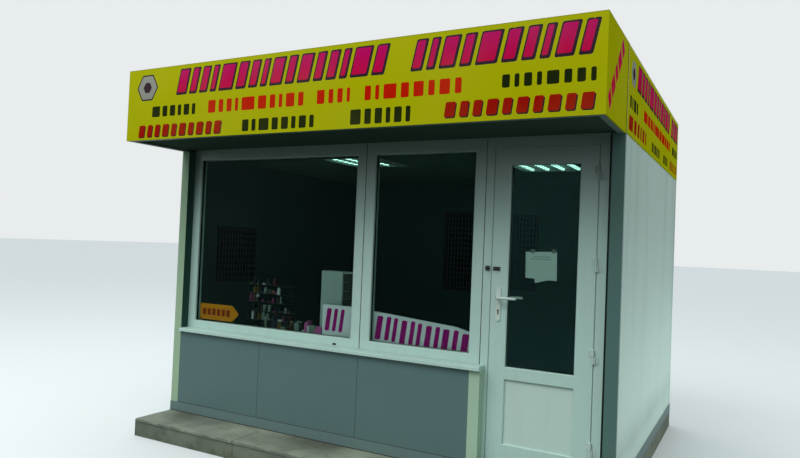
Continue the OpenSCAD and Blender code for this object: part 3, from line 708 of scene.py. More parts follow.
def cut(bm, outline, depth, place, corner=0.0):
    """Adds a plate with an outline of points (x, z), its corners rounded."""
    face = bm.faces.new([bm.verts.new((x, 0.0, z)) for x, z in outline])
    if corner:
        face = bevelled(bm, list(face.verts), corner, CORNER_STEPS, "VERTICES")[0].link_faces[0]
    thicken(bm, [face], depth, place)


print("a bar that leans:", tile(0.0, 1.0, 0.0, 2.0, 0.2))

# %% [markdown]
# `finished` ends every piece: it turns the faces outwards, sets which edges stay sharp, gives the finish,
# and lets the piece ride on a body of the CAD model. It also counts open edges, as a closed piece has
# none. Many pieces are just some blocks or some cut plates, so `blocks` and `plates` make those in one
# call.

# %% Finished pieces
def finished(name, bm, body, finish, slot=None, smooth=40.0):
    """Makes a mesh an object that rides on a body, with a finish of its slot or one of its own."""
    bmesh.ops.recalc_face_normals(bm, faces=bm.faces)
    open_edges = sum(1 for line in bm.edges if not line.is_manifold)
    mesh = bpy.data.meshes.new(name)
    bm.to_mesh(mesh)
    bm.free()
    mesh.shade_smooth()
    mesh.set_sharp_from_angle(angle=math.radians(smooth))
    mesh.materials.append(finish if slot else finishes[finish])
    made = add(name, mesh)
    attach(made, body)
    print(f"{name}: {len(mesh.polygons)} faces, {open_edges} open edges, on {body}")
    return made


def blocks(name, body, finish, slot, corners, edge=0.0, segments=1):
    """A piece of blocks, each given by two corners."""
    bm = bmesh.new()
    for one, other in corners:
        block(bm, one, other, edge, segments)
    return finished(name, bm, body, finish, slot)


def plates(name, body, finish, slot, outlines, depth, place, corner=0.0):
    """A piece of plates cut from one sheet."""
    bm = bmesh.new()
    for outline in outlines:
        cut(bm, outline, depth, place, corner)
    return finished(name, bm, body, finish, slot)


print("pieces can take a finish from", len(finishes), "slots")

# %% [markdown]
# ## The plinth
# The CAD model has the plinth as a sharp block. Cast concrete is never that: its edges are chipped, its
# faces waver, a lip runs along the top where the form was filled last, and a joint shows where two
# castings meet. A picture that shifts the surface would need many more points, so the block is cut into a
# grid with bisecting planes, which lie closer where more happens: at its edges, its lip and its joint.

# %% Plinth cut into a grid
GRID, GRID_BEHIND, STEPS_BEHIND = 0.04, 0.12, 26
LIP_Z, JOINT_X = 0.128, -0.88
COVERED_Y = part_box("base_frame")[0][1] - 0.02
GRID_Y = (0.004, 0.012, 0.03, 0.07, 0.11, 0.15, 0.19, 0.23, 0.27, 0.31, 0.35)
GRID_Z = (0.02, 0.045, 0.07, 0.095, 0.115, LIP_Z - 0.004, LIP_Z, 0.14, 0.146)


def gridded(low, high):
    """A block between two corners, with the plinth's grid cut into its faces."""
    bm = bmesh.new()
    block(bm, low, high)
    cuts = [(0, low[0] + GRID * step) for step in range(1, round((high[0] - low[0]) / GRID))]
    cuts += [(0, JOINT_X + away) for away in (-0.005, -0.002, 0.002, 0.005)]
    cuts += [(1, low[1] + away) for away in GRID_Y]
    cuts += [(1, COVERED_Y + GRID_BEHIND * step) for step in range(STEPS_BEHIND)]
    cuts += [(2, z) for z in GRID_Z]
    for axis, value in cuts:
        point, normal = Vector((0, 0, 0)), Vector((0, 0, 0))
        point[axis], normal[axis] = value, 1.0
        whole = bm.verts[:] + bm.edges[:] + bm.faces[:]
        bmesh.ops.bisect_plane(bm, geom=whole, plane_co=point, plane_no=normal)
    return bm


foot, crown = (Vector(corner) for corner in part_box("plinth"))
plinth = gridded(foot, crown)
print("points to wear down:", len(plinth.verts))

# %% [markdown]
# Each point is then moved, inwards only, so that the plinth stays within its box. Smooth noise makes the
# faces waver, and finer noise, of which only the peaks count, chips the edge. Where the kiosk stands on
# the plinth, it stays flat.

# %% Worn plinth
from mathutils import noise

HAIR, LIP_IN = 1e-5, 0.007
JOINT_HALF, JOINT_IN, JOINT_DOWN = 0.003, 0.006, 0.005
FRONT_WEAR, TOP_WEAR, END_WEAR, CORNER_WEAR = 0.0035, 0.003, 0.0025, 0.004
EDGE_IN, EDGE_DOWN, ROUNDED, CHIPPED, PEAKS = 0.016, 0.014, 0.0015, 0.02, 0.12
WAVES, CHIPS, APART = 9.0, 21.0, Vector((5, 0, 0))

for vert in plinth.verts:
    x, y, z = vert.co
    wear = 0.5 + 0.5 * noise.noise(vert.co * WAVES)
    chip = max(0.0, noise.noise(vert.co * CHIPS + APART) - PEAKS)
    front, top = y < foot[1] + HAIR, z > crown[2] - HAIR
    edge = y - foot[1] < EDGE_IN and crown[2] - z < EDGE_DOWN
    if front:
        vert.co[1] += FRONT_WEAR * wear + (LIP_IN if z < LIP_Z - 0.002 else 0.0)
    if top and y < COVERED_Y - HAIR:
        vert.co[2] -= TOP_WEAR * wear
    if edge:
        push = CHIPPED * chip + ROUNDED
        vert.co[1] += push
        vert.co[2] -= push
    if abs(x - JOINT_X) < JOINT_HALF and y < COVERED_Y:
        vert.co[1] += JOINT_IN if front else 0.0
        vert.co[2] -= JOINT_DOWN if top else 0.0
    for end, way in ((foot[0], 1), (crown[0], -1)):
        if abs(x - end) < HAIR:
            vert.co[0] += way * (END_WEAR * wear + (CORNER_WEAR if edge else 0.0))
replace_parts(finished("worn_plinth", plinth, "kiosk", "concrete", smooth=50.0), "plinth")

# %% [markdown]
# ## Small parts' finish
# Rubber, sealant, enamel and stock are too small for runs and mud. One plain finish does for all of them:
# a colour that drifts a little, with a fine grain.

# %% Plain finish
def plain_finish(name, chart, roughness, grain=200.0, depth=0.0001, contrast=0.12, **sockets):
    """A small part's finish: a colour that drifts a little, with a fine grain."""
    made = new_material(name, roughness, **sockets)
    tree = made[1]
    grains = use(tree, GRAIN, Scale=grain, Coarse=0.8)
    body = blend_colour(tree, grains["Tone"], toned(paint(*chart), 1.0 - contrast), paint(*chart))
    return skin(made, body, grains, (roughness - 0.06, roughness + 0.08), depth)


RUBBER = plain_finish("black_rubber", (34, 38, 38), 0.6, contrast=0.3)
SPACER = bare_metal("spacer_aluminium", (58, 66, 64), 0.45, grime_and_reflection=0.1)
print("made", RUBBER.name, "and", SPACER.name)

# %% [markdown]
# ## Sealed glass units
# Each light of the shop front is two 4 mm panes on a hollow aluminium bar, closed round its edge with
# black sealant. The CAD model holds the unit as one block, so the panes, the bar and the sealant are made
# here and stand for it. The block's own box gives the size.

# %% Glass units
PANE, SEAL_W, BAR_W = 0.004, 0.004, 0.007
UNITS = {"window_glass_left": "kiosk", "window_glass_right": "kiosk", "door_glass": "door"}


def glass_unit(node, body):
    """Two panes, a seal and a bar in place of a CAD block."""
    low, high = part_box(node)
    front, back = low[1], high[1]
    glass = DOOR_GLASS if body == "door" else finishes["clear_glass"]
    corners = [((low[0], near, low[2]), (high[0], far, high[2]))
               for near, far in ((front, front + PANE), (back - PANE, back))]
    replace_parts(blocks(node + "_panes", body, glass, "clear_glass", corners, 0.0005), node)
    inset = 0.0
    for part, width, finish in (("_seal", SEAL_W, RUBBER), ("_spacer", BAR_W, SPACER)):
        bm = bmesh.new()
        outer = (low[0] + inset, low[2] + inset), (high[0] - inset, high[2] - inset)
        ring(bm, *outer, width, back - front - 2 * PANE, at(y=back - PANE))
        finished(node + part, bm, body, finish, "clear_glass")
        inset += width


for node, body in UNITS.items():
    glass_unit(node, body)

# %% [markdown]
# A rubber strip runs round every light, outside and inside. The plastic covers the edge of the glass by
# 15 mm, and the strip shows as a thin dark line 3 mm wide where the plastic ends. The door's lower panel
# has the same. A dark line in the plastic's colour would be flat, so the strips are rings of their own.

# %% Glazing rubbers
COVER = 0.015
STRIP_W, STRIP_T, STRIP_IN = 0.005, 0.0035, 0.002

for node, body in {**UNITS, "door_panel": "door"}.items():
    low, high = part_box(node)
    strip = bmesh.new()
    outer = [(low[axis] + COVER - STRIP_IN, high[axis] - COVER + STRIP_IN) for axis in (0, 2)]
    for back in (low[1], high[1] + STRIP_T):
        ring(strip, *zip(*outer), STRIP_W, STRIP_T, at(y=back))
    finished(node + "_rubbers", strip, body, RUBBER, "clear_glass")

# %% [markdown]
# ## Joints and seals
# The fitters leave a few millimetres between window, door and wall and fill them with dark sealant, so
# each joint shows as a thin dark line. The boxes of the frames give each joint its place. All joints are
# long and straight: blocks with rounded edges are enough.

# %% Dark joints
SEALANT_AND_SHADE, BEAD = plain_finish("dark_sealant_and_shade", (20, 28, 26), 0.6, contrast=0.3), 0.0035
left_low, left_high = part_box("window_frame_left")
right_low, right_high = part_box("window_frame_right")
door_low, door_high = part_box("door_frame")
sill_low, sill_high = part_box("window_sill")
base_low, base_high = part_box("base_frame")
parapet_front, parapet_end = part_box("parapet_left")[0][1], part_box("parapet_right")[1][0]
FACE = left_low[1]

joints = bmesh.new()
for x, half in (
    (left_low[0], 0.003),
    ((left_high[0] + right_low[0]) / 2, 0.0035),
    ((right_high[0] + door_low[0]) / 2, 0.003),
):
    block(joints, (x - half, FACE - 0.0006, sill_high[2]), (x + half, FACE + 0.002, left_high[2]), 0.0004)
# A dark strip along the top of the base band, painted shade under the parapet's edge.
foot = (left_low[0], parapet_front - BEAD, base_high[2])
block(joints, foot, (parapet_end - 0.08, parapet_front, base_high[2] + BEAD), 0.001)
# A dark strip at the foot of the base band, painted shadow of the gap over the plinth.
foot = (base_low[0] + 0.001, base_low[1] - 0.0012, base_low[2] - 0.001)
block(joints, foot, (base_high[0] - 0.001, base_low[1] + 0.001, base_low[2] + 0.006), 0.0005)
finished("dark_joints", joints, "kiosk", SEALANT_AND_SHADE, "white_plastic")

# %% [markdown]
# White silicone closes the corner between the frames and the sill, and a strip covers the joint below the
# soffit. A grey seal lies in the door's opening, so that no light shows past the closed leaf.

# %% Silicone, door seal and cover strip
SILICONE = plain_finish("white_silicone", (178, 200, 191), 0.35)
SEAL_GREY, LIP_W = plain_finish("grey_door_seal", (132, 154, 147), 0.6), 0.0045
leaf_low, leaf_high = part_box("door_leaf")
gap_low, gap_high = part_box("door_threshold")

bead = ((left_low[0], FACE - 0.004, sill_high[2]), (right_high[0], FACE, sill_high[2] + 0.004))
blocks("sill_silicone", "kiosk", SILICONE, "white_plastic", [bead], 0.0016, 3)

near, far, foot, top = FACE + 0.0005, FACE + 0.009, gap_high[2], leaf_high[2] + 0.006
blocks("door_seal", "kiosk", SEAL_GREY, "white_plastic", (
    ((gap_low[0], near, foot), (gap_low[0] + LIP_W, far, top)),
    ((gap_high[0] - LIP_W, near, foot), (gap_high[0], far, top)),
    ((gap_low[0], near, top - LIP_W), (gap_high[0], far, top)),
), 0.001, 2)

cover = ((left_low[0], FACE - 0.0012, left_high[2] + 0.0005), (door_high[0], FACE, left_high[2] + 0.0095))
blocks("head_cover_strip", "kiosk", finishes["white_plastic"], "white_plastic", [cover], 0.0004)

# %% [markdown]
# ## Small parts of the plastic frames
# The corners of plastic frames are welded: a fine ridge runs over each mitre. It could be left to a bump,
# but a ridge that is cut like film catches the light from every side.

# %% Weld seams
SEAM_HALF, SEAM_START = 0.0009, 0.004


def weld_seams(low, high, width):
    """Outlines of a fine ridge over each corner of a frame's face."""
    ridge = ((SEAM_START, -1), (SEAM_START, 1), (width, 1), (width, -1))
    for x, way_x in ((low[0], 1), (high[0], -1)):
        for z, way_z in ((low[2], 1), (high[2], -1)):
            yield [(x + way_x * (out + side * SEAM_HALF), z + way_z * (out - side * SEAM_HALF))
                   for out, side in ridge]


for name, body, width, corners in (
    ("window_weld_seams", "kiosk", 0.082, ((left_low, left_high), (right_low, right_high))),
    ("leaf_weld_seams", "door", 0.118, ((leaf_low, leaf_high),)),
):
    outlines = [outline for low, high in corners for outline in weld_seams(low, high, width)]
    plates(name, body, finishes["white_plastic"], "white_plastic", outlines, 0.0003, at(y=FACE))

# %% [markdown]
# Water leaves the window frames through slots in the bottom rail, most of them under a white cap. The
# sill's cut ends are closed with moulded caps. These parts are flat too, with a small thickness and round
# corners.

# %% Slots and caps
SLOT, CAPS_X, CAPS_Z = pill(-0.262, 0.931, 0.036, 0.022), (-1.66, -0.96, 0.15, 0.84), 0.945
END_T = 0.002

# The slot is a dark plate on the rail, painted shade of its hole.
plates("weep_slot", "kiosk", SEALANT_AND_SHADE, "white_plastic", [SLOT], 0.0005, at(y=FACE), 0.0044)
caps = [pill(x, CAPS_Z, 0.036, 0.011) for x in CAPS_X]
plates("weep_caps", "kiosk", finishes["white_plastic"], "white_plastic", caps, 0.003, at(y=FACE), 0.0045)

end_caps = bmesh.new()
for x, back in (
    (sill_high[0], sill_high[1]), (sill_low[0] - END_T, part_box("left_corner_trim")[0][1])
):
    outline = tile(sill_low[1] - 0.001, back - 0.001, sill_low[2] - 0.001, sill_high[2] + 0.0015)
    cut(end_caps, outline, END_T, at(x, turn=math.pi / 2), 0.003)
finished("sill_end_caps", end_caps, "kiosk", "white_plastic")

# %% [markdown]
# ## Screws and rivets
# Small heads hold much of a kiosk: rivets on the corner trims, countersunk screws in hinges, plates and
# ears, flat screws on the sign boards. One helper turns a short cone into a head and presses a recess
# into it by insetting its top face twice. A lathe would turn them the same way, so a cone with a few
# sides is all they need.

# %% Head of a screw
STEEL = bare_metal("screw_steel", (170, 176, 174), 0.35, grime_and_reflection=0.4)
HEAD_SIDES, HEAD_TAPER, RIM_SHARE, SLOPE_SHARE = 12, 0.7, 0.3, 0.06


def head(bm, foot, way, radius, height, recess=0.0):
    """Adds the head of a screw or rivet: foot is where it sits, way is where it looks."""
    foot, way = Vector(foot), Vector(way).normalized()
    made = rod(bm, foot, foot + way * height, radius, HEAD_SIDES, radius * HEAD_TAPER)
    if recess:
        faces = {face for vert in made for face in vert.link_faces}
        top = max(faces, key=lambda face: face.calc_center_median().dot(way))
        for width, depth in ((RIM_SHARE, 0.0), (SLOPE_SHARE, -recess)):
            given = {"thickness": radius * width, "depth": depth, "use_even_offset": True}
            bmesh.ops.inset_region(bm, faces=[top], **given)


trial = bmesh.new()
head(trial, (0.0, 0.0, 0.0), (0.0, 0.0, 1.0), 0.004, 0.001, 0.0005)
print("a head with a recess has", len(trial.faces), "faces")
trial.free()

# %% [markdown]
# Each flag of a hinge has two screws, and its pin ends in a round cap. The ears for the padlock are held
# by screws too, four on the frame and two on the leaf. A screw's size is its radius, its height and the
# depth of its recess.

# %% Screws of hinges and ears
HINGE_X, HINGE_Z, HINGE_L = 1.824, (0.450, 1.0693, 1.6887, 2.308), 0.095
PIN_Y, FLAG_Y, FLAG_IN = FACE - 0.011, FACE - 0.004, 0.022
HINGE_SCREW, PIN_CAP, EAR_SCREW = (0.0036, 0.0012, 0.0007), (0.0078, 0.003), (0.0034, 0.0014, 0.0008)

for name, body, side in (("hinge_screws_frame", "kiosk", 1), ("hinge_screws_leaf", "door", -1)):
    screws = bmesh.new()
    for z in HINGE_Z:
        for drop in (0.012, 0.036):
            foot = (HINGE_X + side * FLAG_IN, FLAG_Y, z - side * drop)
            head(screws, foot, (0, -1, 0), *HINGE_SCREW)
        head(screws, (HINGE_X, PIN_Y, z - side * HINGE_L / 2), (0, 0, -side), *PIN_CAP)
    finished(name, screws, body, "hinge_metal")

for name, body, node, inset in (
    ("ear_screws_frame", "kiosk", "frame_staple", 0.006), ("ear_screws_leaf", "door", "hasp_staple", 0.005)
):
    screws = bmesh.new()
    low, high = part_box(node)
    middle = ((low[2] + high[2]) / 2,)
    for x in (low[0] + inset, high[0] - inset):
        for z in (low[2] + inset, high[2] - inset) if body == "kiosk" else middle:
            head(screws, (x, FACE - 0.003, z), (0, -1, 0), *EAR_SCREW)
    finished(name, screws, body, STEEL, "black_steel")

# %% [markdown]
# ## Lever and lock
# The lever turns in a collar that is pressed into the long plate. The collar is turned, so its section is
# spun round the lever's axis. Two screws hold the plates from inside, and the cylinder shows a keyhole as
# a dark slot.

# %% Collar, plate screws and keyhole
plate_low, plate_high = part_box("handle_plates")
lever_low, lever_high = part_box("door_lever")
AXIS = Vector(((plate_low[0] + plate_high[0]) / 2, plate_low[1], (lever_low[2] + lever_high[2]) / 2))
COLLAR = ((0.0116, 0.0), (0.0150, 0.0), (0.0150, -0.0018), (0.0140, -0.0028), (0.0116, -0.0028))
KEYHOLE_T, PLATE_SCREW = 0.0003, (0.0042, 0.0018, 0.001)

collar = bmesh.new()
loop = [collar.verts.new(AXIS + Vector((out, y, 0.0))) for out, y in COLLAR]
section = loop + [collar.edges.new((loop[i - 1], loop[i])) for i in range(len(loop))]
bmesh.ops.spin(collar, geom=section, cent=AXIS, axis=(0, 1, 0), angle=math.tau, steps=40, use_merge=True)
bmesh.ops.remove_doubles(collar, verts=collar.verts, dist=0.00001)
finished("lever_collar", collar, "door", "handle_white")

screws = bmesh.new()
for z in (plate_low[2] + 0.014, plate_high[2] - 0.014):
    head(screws, (AXIS.x, plate_high[1], z), (0, 1, 0), *PLATE_SCREW)
finished("plate_screws", screws, "door", STEEL, "handle_white")

cylinder_low, cylinder_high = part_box("lock_cylinder")
# The keyhole is a dark plate on each face of the cylinder, painted shade of its hole.
keyhole = bmesh.new()
for y in (cylinder_low[1], cylinder_high[1] + KEYHOLE_T):
    cut(keyhole, pill(AXIS.x, cylinder_high[2] - 0.0085, 0.0024, 0.010), KEYHOLE_T, at(y=y), 0.0006)
finished("keyhole", keyhole, "door", SEALANT_AND_SHADE, "lock_brass")

# %% [markdown]
# ## The second board on each side
# Behind the canopy a second board is screwed over the side, so the side's top line has a small step at
# the wall's corner. It is a 5 mm composite plate with a pale cut edge, which is a thin block of its own
# along the plate.

# %% Side plates and their cut edges
PLATE_T, PLATE_START, PLATE_FOOT, PLATE_HEAD = 0.005, -1.19, 0.003, 0.008
EDGE_X = (2.0036, 2.0047)
CUT_EDGE = plain_finish("pale_cut_edge", (196, 198, 132), 0.5, Specular_IOR_Level=0.1)
SIDES = [
    (side, way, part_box("fascia_" + side)[max(way, 0)][0], *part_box("fascia_" + side))
    for side, way in (("right", 1), ("left", -1))
]
edges = []
for side, way, face, low, high in SIDES:
    foot, top = low[2] + PLATE_FOOT, high[2] - PLATE_HEAD
    plate = ((face, PLATE_START, foot), (face + way * PLATE_T, high[1], top))
    blocks("side_plate_" + side, "kiosk", finishes["yellow_board"], "yellow_board", [plate], 0.0008)
    near, far = (way * x for x in EDGE_X)
    edges += [((near, PLATE_START, high[2] - 0.017), (far, high[1], top)),
              ((near, PLATE_START - 0.0008, foot), (far, PLATE_START + 0.006, top))]

# %% [markdown]
# ## Layout of the film
# The layout is a plain pattern: a row of leaning magenta bars with a dark outline and shadow, red bars,
# and small dark bars. A table holds the rows, because the eye reads their rhythm and not the single bar.
# Each row has its colour, its ends, its foot and top, the gap between its bars, and their shares of the
# width.

# %% Tables of the film's rows
LEAN = {"magenta": 0.22, "crimson": 0.12, "shadow": 0.12, "red": 0.0, "dark": 0.0}
LOW_ROW = (5, 4, 4, 5, 4, 5, 4, 5, 4, 5)
FRONT_ROWS = (
    ("magenta", -1.40, 0.53, 2.935, 3.115, 0.055, (3, 2, 4, 2, 3, 3, 2, 4)),
    ("magenta", 0.76, 1.92, 2.935, 3.115, 0.055, (2, 3, 4, 2, 3)),
    ("red", -1.07, -0.14, 2.748, 2.848, 0.035, (3, 2, 5, 2, 3)),
    ("red", -0.02, 0.26, 2.748, 2.848, 0.035, (3, 2)),
    ("red", 0.38, 1.10, 2.748, 2.848, 0.035, (2, 4, 3, 3)),
    ("dark", -1.70, -1.21, 2.748, 2.836, 0.03, (3, 2, 2)),
    ("dark", -0.71, -0.04, 2.585, 2.675, 0.03, (2, 3, 2, 2)),
    ("dark", 0.27, 0.74, 2.585, 2.69, 0.03, (3, 2, 2)),
    ("dark", 1.37, 1.94, 2.758, 2.84, 0.03, (2, 2, 3, 2)),
)
SIDE_ROWS = (
    ("magenta", -0.80, 1.04, 2.94, 3.10, 0.05, (3, 2, 4, 2, 3, 3)),
    ("magenta", 1.22, 1.72, 2.94, 3.10, 0.05, (2, 3)),
    ("red", -0.50, 1.12, 2.765, 2.85, 0.03, (3, 2, 4, 3, 2)),
    ("dark", -1.10, -0.78, 2.75, 2.835, 0.03, (2, 3)),
    ("dark", 1.32, 1.72, 2.765, 2.845, 0.03, (3, 2)),
    ("crimson", -1.12, -0.36, 2.60, 2.70, 0.05, (4, 2, 2)),
    ("dark", -0.05, 0.42, 2.60, 2.68, 0.03, (2, 3, 2)),
    ("dark", 0.68, 0.98, 2.60, 2.68, 0.03, (3, 2)),
    ("crimson", 1.16, 1.74, 2.60, 2.69, 0.05, (3, 2, 2)),
)
print("rows on the front:", len(FRONT_ROWS), "and on each side:", len(SIDE_ROWS))

# %% [markdown]
# Each bar is a cut outline a few tenths of a millimetre thick. A magenta bar lies on an outline of darker
# film that is a little larger, and reaches further to the right and down, like a shadow.

# %% Rows of film
FILM_T, TOP_FILM_T, SHADOW_T = 0.0003, 0.0004, 0.0002
OUTLINE, SHADOW_RIGHT, SHADOW_DOWN = 0.011, 0.019, 0.02
ROUNDING, OUTER_ROUNDING, THICK_THIN, NUT_Z = 0.01, 0.012, (0.62, 0.38), 3.0


def tile_row(sheets, colour, place, x0, x1, z0, z1, gap, widths, lean, outlined=False):
    """Adds a row of tiles to the sheets of film, stretched to fill x0 to x1."""
    free = (x1 - x0) - gap * (len(widths) - 1)
    x = x0
    for share in widths:
        width = free * share / sum(widths)
        if outlined:
            outer = tile(x - OUTLINE, x + width + SHADOW_RIGHT, z0 - SHADOW_DOWN, z1 + OUTLINE, lean)
            cut(sheets["shadow"], outer, SHADOW_T, place, OUTER_ROUNDING)
        depth = TOP_FILM_T if outlined else FILM_T
        cut(sheets[colour], tile(x, x + width, z0, z1, lean), depth, place, ROUNDING)
        x += width + gap


def paired_rows(sheets, place, rows, way=1):
    """Lays a table of rows, each width split into a thick and a thin bar, so that a row looks lively."""
    for colour, start, end, z0, z1, gap, widths in rows:
        ends = sorted((way * start, way * end))
        bars = [share * part for share in widths for part in THICK_THIN]
        tile_row(sheets, colour, place, *ends, z0, z1, gap, bars, LEAN[colour], colour == "magenta")


def nut(sheets, place, x, *layers):
    """A plain hexagon nut of layers of film, each a colour, a radius, a thickness and a rounding."""
    angles = [a * math.pi / 3 for a in range(6)]
    for colour, radius, depth, corner in layers:
        outline = [(x + radius * math.cos(a), NUT_Z + radius * math.sin(a)) for a in angles]
        cut(sheets[colour], outline, depth, place, corner)


print("film is", FILM_T * 1000, "mm thick")

# %% [markdown]
# The front board takes its table as it is, with two low rows in crimson over a dark one. On the sides the
# same pattern starts from the shop front, so it is mirrored on one of them, and a short row climbs at its
# front end.

# %% Patterns of the boards
LOW_PLACES, LOW_H, LOW_GAP, LOW_SHIFT = ((-1.85, -0.93, 2.585), (0.99, 1.93, 2.597)), 0.098, 0.034, 0.008
CLIMB_X, CLIMB_Z, CLIMB_ANGLE = -1.77, 2.64, math.radians(47)
CLIMB_L, CLIMB_HALF, CLIMB_GAP, CLIMB_WIDTHS = 0.62, 0.045, 0.03, (2, 3, 2, 3, 2)


def front_film(sheets):
    """The front board's pattern."""
    place = at(y=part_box("fascia_front")[0][1])
    paired_rows(sheets, place, FRONT_ROWS)
    for x0, x1, z0 in LOW_PLACES:
        z1 = z0 + LOW_H
        lower = (x0 + LOW_SHIFT, x1 + LOW_SHIFT, z0 - LOW_SHIFT, z1 - LOW_SHIFT)
        tile_row(sheets, "shadow", place, *lower, LOW_GAP, LOW_ROW, LEAN["shadow"])
        upper = (x0, x1, z0, z1)
        tile_row(sheets, "crimson", place @ at(y=-FILM_T), *upper, LOW_GAP, LOW_ROW, LEAN["crimson"])
    nut(sheets, place, -1.77, ("shadow", 0.125, SHADOW_T, 0.01), ("grey", 0.112, TOP_FILM_T, 0.01),
        ("shadow", 0.05, 0.0005, 0.006))


def side_film(sheets, way, face):
    """A side board's pattern: way is 1 where the board's x runs to the back, and -1 on the other side."""
    board = at(face, turn=way * math.pi / 2)
    place = board @ at(y=-PLATE_T)
    paired_rows(sheets, place, SIDE_ROWS, way)
    nut(sheets, place, way * -0.98, ("grey", 0.10, FILM_T, 0.01), ("shadow", 0.045, TOP_FILM_T, 0.006))
    climb = board @ at(way * CLIMB_X, z=CLIMB_Z) @ Matrix.Rotation(way * -CLIMB_ANGLE, 4, "Y")
    row = (*sorted((0.0, way * CLIMB_L)), -CLIMB_HALF, CLIMB_HALF, CLIMB_GAP, CLIMB_WIDTHS)
    tile_row(sheets, "magenta", climb, *row, way * LEAN["magenta"])


print("boards to cover:", 1 + len(SIDES))

# %% [markdown]
# A plotter cuts one colour at a time, and so does this: each board gets one piece for each colour of
# film.

# %% Cut the film
for side, *board in (["front"], *(row[:3] for row in SIDES)):
    sheets = {colour: bmesh.new() for colour in FILM}
    if board:
        side_film(sheets, *board)
    else:
        front_film(sheets)
    for colour, sheet in sheets.items():
        finished(f"film_{side}_{colour}", sheet, "kiosk", FILM[colour], "yellow_board")

# %% [markdown]
# ## Fixings of trims, boards and roof
# The corner trims are riveted about every 30 cm, on both of their faces. A rivet is a plain low head, and
# its finish is that of the trim, because such rivets come in the sheet's colour.

# %% Rivets on the trims
RIVET_R, RIVET_H, RIVET_PITCH, RIVET_START = 0.0034, 0.0013, 0.3, 0.08
RIVET_IN, NARROW_IN, REAR_IN = 0.04, 0.016, 0.03


def rivet_lines(name, low, high):
    """Where a trim's rivets run, as (x, y), and where they look."""
    if name == "left_corner_trim":
        return [((low[0] + RIVET_IN, low[1]), (0, -1)), ((low[0], low[1] + NARROW_IN), (-1, 0))]
    if name == "back_corner_trims":
        sides = ((low[0], -1), (high[0], 1))
        return [((x, low[1] + REAR_IN), (way, 0)) for x, way in sides] + [
            ((x - way * REAR_IN, high[1]), (0, 1)) for x, way in sides]
    return [((high[0] - RIVET_IN, low[1]), (0, -1)), ((high[0], low[1] + RIVET_IN), (1, 0))]


for name in ("right_corner_trim", "left_corner_trim", "back_corner_trims", "parapet_end_trim"):
    rivets = bmesh.new()
    low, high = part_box(name)
    length = high[2] - low[2] - 2 * RIVET_START
    count = round(length / RIVET_PITCH)
    for (x, y), way in rivet_lines(name, low, high):
        for step in range(count + 1):
            foot = (x, y, low[2] + RIVET_START + step * length / count)
            head(rivets, foot, (*way, 0), RIVET_R, RIVET_H)
    finished("rivets_" + name, rivets, "kiosk", nodes[name].material_slots[0].material, slot_of[name])

# %% [markdown]
# The sign boards are screwed to their frame with flat screws under yellow film, in two rows along each
# board, and the pale cut edges of the side plates show at their top and front. An edge is a thin block,
# because the plate's own finish covers all of its faces.

# %% Screws and edges of the boards
board_low, board_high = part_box("fascia_front")
BOARD_SCREW = (0.005, 0.0008, 0.0004)
FRONT_START, FRONT_PITCH, FRONT_COUNT = -1.92, 0.48, 9
SIDE_START, SIDE_PITCH, SIDE_COUNT = PLATE_START + 0.06, 0.478, 7
screws = bmesh.new()
for z in (board_low[2] + 0.012, board_high[2] - 0.034):
    for step in range(FRONT_COUNT):
        head(screws, (FRONT_START + FRONT_PITCH * step, board_low[1], z), (0, -1, 0), *BOARD_SCREW)
for side, way, face, low, high in SIDES:
    for z in (low[2] + 0.016, high[2] - 0.026):
        for step in range(SIDE_COUNT):
            foot = (face + way * PLATE_T, SIDE_START + SIDE_PITCH * step, z)
            head(screws, foot, (way, 0, 0), *BOARD_SCREW)
finished("board_screws", screws, "kiosk", "yellow_board")
blocks("board_cut_edges", "kiosk", CUT_EDGE, "yellow_board", edges, 0.0004)

# %% [markdown]
# The roof sheets are held by screws with wide washers, which stand on the crests of the ribs, over the
# bearers and over the back wall. The roof falls to the back, so their height follows from where they
# stand. A washer is a low cone and a bolt a rod with six sides, as there are many and all of them are
# small.

# %% Roof screws
FALL, ROOF_BACK_Y, CREST_Z = math.tan(math.radians(1.2)), 1.800, 2.600
SHEET_PITCH, RIB_PITCH, RIB_H = 0.972, 0.24225, 0.110
SCREW_ROWS = (-1.745, -1.095, 0.35, 1.762)
SHEETS, RIBS = 4, 4
WASHER_T, WASHER_R, WASHER_TOP_R, WASHER_SIDES = 0.0022, 0.0095, 0.0085, 16
BOLT_H, BOLT_R, BOLT_SIDES = 0.005, 0.0046, 6
washers, bolts = bmesh.new(), bmesh.new()
for index in range(SHEETS * RIBS):
    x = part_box("roof_panels")[0][0] + SHEET_PITCH * (index // RIBS) + (index % RIBS + 0.5) * RIB_PITCH
    for y in SCREW_ROWS:
        z = CREST_Z + (ROOF_BACK_Y - y) * FALL + RIB_H
        rod(washers, (x, y, z), (x, y, z + WASHER_T), WASHER_R, WASHER_SIDES, WASHER_TOP_R)
        rod(bolts, (x, y, z + WASHER_T), (x, y, z + WASHER_T + BOLT_H), BOLT_R, BOLT_SIDES)
finished("roof_washers", washers, "kiosk", RUBBER, "roof_sheet")
finished("roof_bolts", bolts, "kiosk", STEEL, "roof_sheet")

# %% [markdown]
# ## Lamps
# Two ceiling lamps hang over the shop. The CAD model holds each as one enamelled part; here it is made
# again from its pieces, in the same box: a tray, low blades across it, and four tubes with metal caps, so
# that the tubes show as bright stripes in the tray, whose grey is painted shade between them.

# %% Boxes and glass of the lamps
def lit_glass(name):
    """White glass that glows, a little unevenly."""
    material, tree, shader = new_material(name, 0.3, Emission_Strength=3.2)
    tone = clouds(tree, where(tree), 9.0)
    glow = blend_colour(tree, tone, paint(176, 240, 226), paint(200, 255, 240))
    body = blend_colour(tree, tone, paint(226, 240, 236), paint(240, 250, 246))
    feed(tree, shader, Emission_Color=glow, Base_Color=body)
    return material


